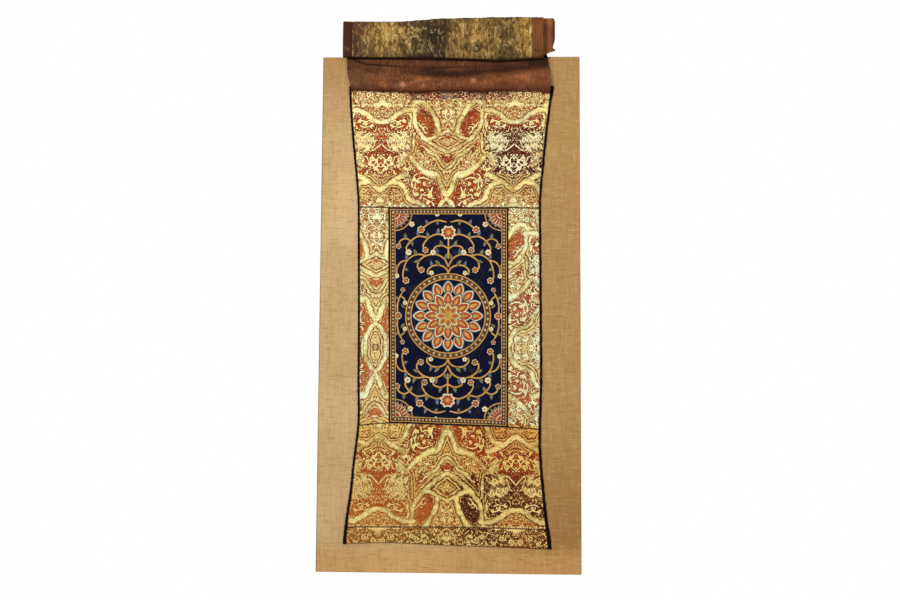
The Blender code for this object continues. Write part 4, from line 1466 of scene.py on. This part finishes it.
def headerFinish():
    f = Finish("brown silk", header["shades"], 0.6)
    valley, upper, pleat, underVeil, roll = (
        f.field(title) for title in ("valley", "upper", "pleat", "underVeil", "roll")
    )
    px, pz = f.acrossAndUp()
    streaks = silkStreaks(f, 420.0, 14.0)
    cloudy = f.noise(f.stretched(f.place, (0.6, 1.0, 1.0)), 30.0, 4.0, 0.65)
    base = f.mix(f.ramp(streaks, 0.30, 0.70), "silk", "silkLit")
    for amount, shade in (
        (f.ramp(cloudy, 0.50, 0.64, 0.0, 0.65), "clouded"), (f.ramp(cloudy, 0.46, 0.32, 0.0, 0.7), "faded"),
        (f.ramp(px, -0.04, 0.12, 0.0, 0.15), "middle"), (f.ramp(px, 0.10, 0.20, 0.0, 0.12), "right"),
        (f.ramp(px, -0.17, -0.25, 0.0, 0.45), "left"),
    ):
        base = f.mix(amount, base, shade)
    for x, z in header["spots"]:
        base = f.mix(f.ramp(f.distanceTo(x, z), 0.012, 0.002, 0.0, 0.5), base, "spot")

    # the tab at the right end stays light; painted shade darkens the upper part, the strip just below the
    # veil, the valley, the right end under the veil and the pleats; the rolled lower edge is darker too
    tab = f.ramp(px, *header["tab"]) * f.ramp(pz, 0.0, 0.01)
    notTab = 1.0 - tab
    rightEnd = f.ramp(px, 0.10, 0.22) * f.ramp(pz, -0.040, -0.026)
    darkest = f.most(f.ramp(px, -0.16, -0.05, 0.4, 0.85) * valley, rightEnd * 0.85 * notTab)
    for amount, shade in (
        (upper * notTab * 0.5, "upperShade"), (underVeil * notTab, "shade"), (darkest, "valley"),
        (f.ramp(px, *header["tabEdge"]) * tab, "tabEdge"), (pleat * 0.85, "pleat"),
        (roll * f.ramp(streaks, 0.4, 0.6, 0.55, 0.95), "roll"),
    ):
        base = f.mix(amount, base, shade)
    f.paint(base)
    f.bump(streaks + cloudy, 0.0009, 0.8)
    return f.material


def halfTurn(depth, radius, height, steps, flip=False):
    angles = [math.pi * k / steps for k in range(steps + 1)]
    sign = -1 if flip else 1
    return [(depth + radius * math.cos(a), height + sign * radius * math.sin(a)) for a in angles]


def veilLine(x):
    top = readTable(veil["stations"], x, 1) - 0.8
    low = readTable(veil["stations"], x, 2) + 0.8
    pitch, back, front = veil["pitch"], veil["back"], veil["front"]
    over = (front - back) / 2
    shoulder = top - over
    flat = np.ones_like(x)
    rows = [(back * flat, shoulder - veil["tuck"]), (back * flat, shoulder - veil["tuck"] / 2)]
    rows += [(flat * (2 * (back + over) - d), h) for d, h in halfTurn(back + over, over, shoulder, 9)]
    frontLow = low + pitch / 2
    for share in (0.15, 0.35, 0.6, 0.85):
        bulge = veil["bulge"] * math.sin(math.pi * share)
        rows.append(((front + bulge) * flat, shoulder * (1 - share) + frontLow * share))
    layer, height = front, frontLow
    innerTop = shoulder - veil["clearance"]
    ends = ((True, innerTop), (False, frontLow + veil["rise"]), (True, innerTop - veil["rise"]))
    for upward, farEnd in ends:
        rows += [(flat * d, h) for d, h in halfTurn(layer - pitch / 2, pitch / 2, height, 6, flip=upward)]
        layer -= pitch
        rows += [(layer * flat, (height + farEnd) / 2), (layer * flat, farEnd)]
        height = farEnd
    return [row[0] for row in rows], [row[1] for row in rows]


def makeVeilPart(name, node, left, right, finish):
    columns = max(6, round((right - left) / veil["step"]))
    u = np.linspace(left, right, columns)
    depths, heights = veilLine(u)
    depth, z = smoothRows(depths, veil["finer"]), smoothRows(heights, veil["finer"])
    x = np.broadcast_to(u, z.shape).copy()
    k = np.linspace(0, len(depths) - 1, len(z))[:, None] * np.ones_like(u)[None, :]
    onFront = np.clip((k - 3) / 4, 0, 1) * np.clip((16.5 - k) / 1.5, 0, 1)
    waves = 0.55 * ripple(x, z, 38, 160, 51) + 0.28 * ripple(x, z, 12, 40, 52)
    waves = waves + 0.35 * ripple(x, z, 150, 26, 53)
    topShape = 0.5 * edgeRipple(x, 22, 54) + 0.35 * edgeRipple(x, 9, 55)
    lowShape = 0.6 * edgeRipple(x, 30, 56) + 0.3 * edgeRipple(x, 8, 57)
    depth = depth + onFront * waves
    z = z + np.exp(-((k - 6.5) / 3.0) ** 2) * topShape + np.exp(-((k - 17) / 2.5) ** 2) * lowShape
    toTop = np.clip((k - 2) / 4, 0, 1) * np.clip((12.5 - k) / 3, 0, 1)
    toLow = np.exp(-((k - 17.5) / 2.2) ** 2)
    inner = np.clip((k - 19) / 2, 0, 1)
    fold = np.stack([toTop, toLow, inner], axis=-1)
    piece = openSheet(name, x, depth, z, veil["thickness"], {"fold": fold})
    piece.data.materials.append(finish)
    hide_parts(node)
    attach(piece, "root")


dyeBands = (         # across in mm, then the colour of the dyed silk there
    (-262, (84, 50, 28)), (-240, (104, 66, 36)), (-214, (120, 80, 42)), (-196, (172, 130, 62)),
    (-172, (204, 164, 84)), (-150, (188, 150, 78)), (-134, (150, 114, 58)), (-114, (116, 86, 46)),
    (-94, (84, 64, 36)), (-70, (74, 56, 36)), (-40, (66, 48, 32)), (-16, (70, 50, 32)), (-2, (142, 104, 54)),
    (40, (168, 128, 66)), (86, (160, 120, 62)), (112, (144, 112, 56)), (138, (122, 96, 48)),
    (160, (116, 92, 46)), (178, (160, 120, 56)), (200, (190, 146, 66)), (214, (162, 118, 56)),
)
dyeShades = {
    "blotch": (82, 58, 30), "blotchDark": (30, 24, 20), "fleck": (222, 186, 112), "green": (100, 98, 56),
    "speck": (52, 36, 20), "speckPale": (226, 194, 124), "streak": (66, 46, 26), "broadStreak": (56, 42, 26),
    "crease": (84, 60, 30), "ring": (34, 26, 20), "topEdge": (70, 50, 32), "lowEdge": (42, 28, 20),
    "inside": (70, 44, 30),
}


def dyedFinish():
    f = Finish("tie-dyed silk", dyeShades, 0.62)
    toTop, toLow, inner = f.threeFields("fold")
    px, pz = f.acrossAndUp()
    streaks = silkStreaks(f, 330.0, 22.0)
    broadStreaks = silkStreaks(f, 120.0, 7.0)
    patches = f.noise(f.stretched(f.place, (1.0, 1.0, 0.7)), 34.0, 5.0, 0.70, 0.6)
    fine = f.noise(f.stretched(f.place, (1.0, 1.0, 0.5)), 110.0, 4.0, 0.7, 0.8)
    start, span = dyeBands[0][0], dyeBands[-1][0] - dyeBands[0][0]
    share = (px + (patches - 0.5) * 0.060 - start * mm) / (span * mm)
    bands = f.node("ShaderNodeValToRGB", {"Fac": share})
    stops = bands.color_ramp.elements
    while len(stops) < len(dyeBands):
        stops.new(0.5)
    for stop, (at, shade) in zip(stops, dyeBands):
        stop.position = (at - start) / span
        stop.color = colour(shade)
    base = bands.outputs["Color"]

    # dark blotches, heaviest in the middle, paler flecks and greenish places between them
    middle = f.ramp(px, -0.130, -0.080) * f.ramp(px, 0.014, -0.014)
    patch = f.ramp(px, 0.112, 0.136) * f.ramp(px, 0.186, 0.166)
    dark = f.most(middle, patch * 0.7)
    level = patches + dark * 0.06
    base = f.mix(f.ramp(level, 0.50, 0.66, 0.0, 0.85), base, f.mix(dark, "blotch", "blotchDark"))
    for amount, shade in (
        (f.ramp(level, 0.49, 0.36, 0.0, 0.70), "fleck"),
        (f.ramp(f.noise(f.place, 21.0, 3.0), 0.52, 0.68, 0.0, 0.35), "green"),
        (f.ramp(fine, 0.51, 0.61, 0.0, 0.75), "speck"), (f.ramp(fine, 0.47, 0.36, 0.0, 0.45), "speckPale"),
        (f.ramp(streaks, 0.50, 0.64, 0.0, 0.45), "streak"),
        (f.ramp(broadStreaks, 0.54, 0.66, 0.0, 0.55), "broadStreak"),
    ):
        base = f.mix(amount, base, shade)

    # fine creases that run out from the middle of the pale stripe, painted as shade, a ring stain, a darker
    # mottled top fold, and painted shade along the lower fold and on the inner layers
    rayX, rayZ = px + 0.172, pz - 0.050
    rays = f.sine(f.calc("ARCTAN2", rayZ, rayX) * 17.0 + fine * 9.0)
    onStripe = f.ramp(abs(rayX), 0.040, 0.020)
    ring = f.ramp(abs(f.distanceTo(0.0665, 0.0145) - 0.0075), 0.0032, 0.0008)
    for amount, shade in (
        (f.ramp(rays, 0.3, 0.9, 0.0, 0.6) * onStripe, "crease"),
        (ring * f.ramp(px, 0.060, 0.066, 0.4, 0.95), "ring"),
        (toTop * f.ramp(patches, 0.35, 0.6, 0.35, 0.85), "topEdge"), (toLow * 0.85, "lowEdge"),
        (inner, "inside"),
    ):
        base = f.mix(amount, base, shade)
    f.paint(base)
    f.bump(streaks * 0.7 + (patches + fine), 0.0016, 0.8)
    return f.material


borderShades = {
    "right": (126, 76, 38), "left": (62, 34, 18), "streak": (66, 38, 26), "faded": (150, 96, 52),
    "topEdge": (70, 42, 28), "lowEdge": (52, 30, 20), "stain": (44, 22, 16),
}


def borderFinish():
    f = Finish("red-brown silk", borderShades, 0.6)
    toTop, toLow, _ = f.threeFields("fold")
    px, _ = f.acrossAndUp()
    streaks = silkStreaks(f, 380.0, 16.0)
    patches = f.noise(f.place, 40.0, 3.0, 0.6)
    base = f.mix(f.ramp(px, 0.1, -0.1), "right", "left")
    # streaks and faded places, the top fold darker, and painted shade along the lower fold
    for amount, shade in (
        (f.ramp(streaks, 0.45, 0.70, 0.0, 0.6), "streak"), (f.ramp(patches, 0.40, 0.25, 0.0, 0.35), "faded"),
        (toTop * 0.5, "topEdge"), (toLow * 0.7, "lowEdge"),
    ):
        base = f.mix(amount, base, shade)
    for x, z in ((0.222, 0.011), (0.230, 0.0085)):
        base = f.mix(f.ramp(f.distanceTo(x, z), 0.0032, 0.0020, 0.0, 0.9), base, "stain")
    f.paint(base)
    f.bump(streaks + patches, 0.0005, 0.7)
    return f.material


makeHeader()
dyedSilk, borderSilk = dyedFinish(), borderFinish()
(leftEnd, rightEnd), (leftSeam, rightSeam), gap = veil["ends"], veil["seams"], veil["seamGap"]
makeVeilPart("veilCentre", "veil_centre", leftSeam + gap, rightSeam - gap, dyedSilk)
makeVeilPart("veilBorderLeft", "veil_border_left", leftEnd, leftSeam, borderSilk)
makeVeilPart("veilBorderRight", "veil_border_right", rightSeam, rightEnd, borderSilk)
print("header and veil are folded")


# The board keeps its CAD shape and gets its linen

linenShades = {
    "left": (240, 203, 148), "right": (208, 163, 102), "topLeft": (194, 152, 98), "lowRight": (182, 132, 72),
    "bottom": (240, 182, 110), "patch": (198, 150, 96), "weftDark": (146, 106, 62),
    "warpDark": (146, 104, 60), "slub": (240, 212, 164), "gap": (142, 102, 62), "edge": (80, 54, 34),
}
linenPitch = (1.4, 1.5)      # mm from thread to thread, across and up


def linenFinish():
    f = Finish("linen", linenShades, 0.92)
    px, pz = f.acrossAndUp()
    wobble = (f.noise(f.place, 60.0, 2.0) - 0.5) * 0.0022
    across = f.sine((px + wobble) * (fullTurn / (linenPitch[0] * mm)))
    upright = f.sine((pz + wobble) * (fullTurn / (linenPitch[1] * mm)))
    weave = f.ramp(across * upright, -1.0, 1.0)
    weft = f.noise(f.stretched(f.place, (0.12, 1.0, 1.0)), 300.0, 3.0, 0.6)
    warp = f.noise(f.stretched(f.place, (1.0, 1.0, 0.08)), 300.0, 3.0, 0.6)
    # lighter at the left, darker to the right: partly the linen's own tone, partly painted light falling off
    # from the left
    base = f.mix(f.ramp(px, -0.34, 0.34), "left", "right")
    for amount, shade in (
        (f.ramp(pz, -0.35, 0.0) * f.ramp(px, -0.1, -0.34, 0.3, 1.0), "topLeft"),
        (f.ramp(pz, -0.9, -1.25) * f.ramp(px, 0.1, 0.30), "lowRight"),
        (f.ramp(pz, -1.26, -1.31, 0.0, 0.7), "bottom"),
        (f.ramp(f.noise(f.place, 5.0, 3.0), 0.35, 0.70, 0.0, 0.35), "patch"),
        (f.ramp(weft, 0.50, 0.72, 0.0, 0.38), "weftDark"), (f.ramp(weft, 0.42, 0.28, 0.0, 0.45), "slub"),
        (f.ramp(warp, 0.50, 0.72, 0.0, 0.28), "warpDark"), (f.ramp(warp, 0.42, 0.28, 0.0, 0.35), "slub"),
        # the dark line down the board's left edge is painted shade
        (f.ramp(weave, 0.45, 0.0) * 0.5, "gap"), (f.ramp(px, -0.3360, -0.3398, 0.0, 0.7), "edge"),
    ):
        base = f.mix(amount, base, shade)
    f.paint(base)
    f.bump(weave + (weft * 0.8 + warp * 0.6), 0.0007, 0.8)
    return f.material


linen = linenFinish()
bpy.data.objects["backing_board"].material_slots[0].material = linen


# Behind the board, where the linen is turned over and tacked down

backing = {
    "halfWidth": 340.0, "height": 1346.0, "inset": 3.0,
    "turnover": 48.0, "thickness": 0.7,
    "tackPitch": 96.0, "tackInset": 30.0, "tackRadius": 4.2, "tackHeight": 0.34, "tackDepth": 1.0,
    "steel": {"bright": (150, 144, 132), "tarnish": (104, 84, 62)},
}


def turnoverPiece(name, start, end, inward):
    # one turned-over edge, cut slanting at its ends to meet its neighbours, its raw edge a little uneven
    start, end, inward = (np.array(p, float) for p in (start, end, inward))
    run = end - start
    length = np.hypot(*run)
    run /= length
    steps = int(length / 8)
    points = []
    for across in np.linspace(0, 1, 5):
        for t in np.linspace(0, 1, steps):
            slant = backing["turnover"] * across
            along = slant + (length - 2 * slant) * t
            fray = 0.8 * math.sin(along / 7.0) * across + 0.6 * math.sin(along / 2.9 + 1) * across
            place = start + run * along + inward * (slant + fray)
            lift = 0.25 + backing["thickness"] * (1 - 0.3 * across) + 0.12 * math.sin(along / 31 + 2 * across)
            points.append((place[0], lift, place[1]))
    grid = np.array(points).reshape(5, steps, 3)
    x, y, z = grid[..., 0], grid[..., 1], grid[..., 2]
    piece = panelPiece(name, x, z, -y, np.zeros_like(y) - 0.02, {})
    piece.data.materials.append(linen)
    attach(piece, "root")


def makeTacks():
    # domed steel tacks, one ring of them all round the back
    half, low = backing["halfWidth"] - backing["tackInset"], -backing["height"] + backing["tackInset"]
    top, pitch = -backing["tackInset"], backing["tackPitch"]
    places = []
    for k in range(round(2 * half / pitch) + 1):
        x = -half + 2 * half * k / round(2 * half / pitch)
        places += [(x, top), (x, low)]
    rows = round((top - low) / pitch)
    for k in range(1, rows):
        z = low + (top - low) * k / rows
        places += [(-half, z), (half, z)]
    bpy.ops.object.select_all(action="DESELECT")
    tacks = []
    for x, z in places:
        bpy.ops.mesh.primitive_uv_sphere_add(segments=20, ring_count=10, radius=backing["tackRadius"] * mm)
        tack = bpy.context.object
        tack.scale = (1, 1, backing["tackHeight"])
        tack.rotation_euler = (-math.pi / 2, 0, 0)
        tack.location = (x * mm, backing["tackDepth"] * mm, z * mm)
        tacks.append(tack)
    for tack in tacks:
        tack.select_set(True)
    bpy.context.view_layer.objects.active = tacks[0]
    bpy.ops.object.transform_apply(location=True, rotation=True, scale=True)
    bpy.ops.object.join()
    joined = bpy.context.object
    joined.name = "tacks"
    joined.data.shade_smooth()
    f = Finish("tacks", backing["steel"], 0.4, metallic=0.9)
    tarnish = f.noise(f.place, 900.0, 3.0, 0.6)
    f.paint(f.mix(f.ramp(tarnish, 0.45, 0.7), "bright", "tarnish"))
    f.bump(tarnish, 0.0002, 0.4)
    joined.data.materials.append(f.material)
    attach(joined, "root")


def makeBack():
    inset = backing["inset"]
    half, low = backing["halfWidth"] - inset, inset - backing["height"]
    corners = ((half, -inset), (half, low), (-half, low), (-half, -inset))
    inward = ((-1, 0), (0, 1), (1, 0), (0, -1))
    names = ("turnoverRight", "turnoverBottom", "turnoverLeft", "turnoverTop")
    for k in range(4):
        turnoverPiece(names[k], corners[k], corners[(k + 1) % 4], inward[k])
    makeTacks()


makeBack()
print("board is covered")
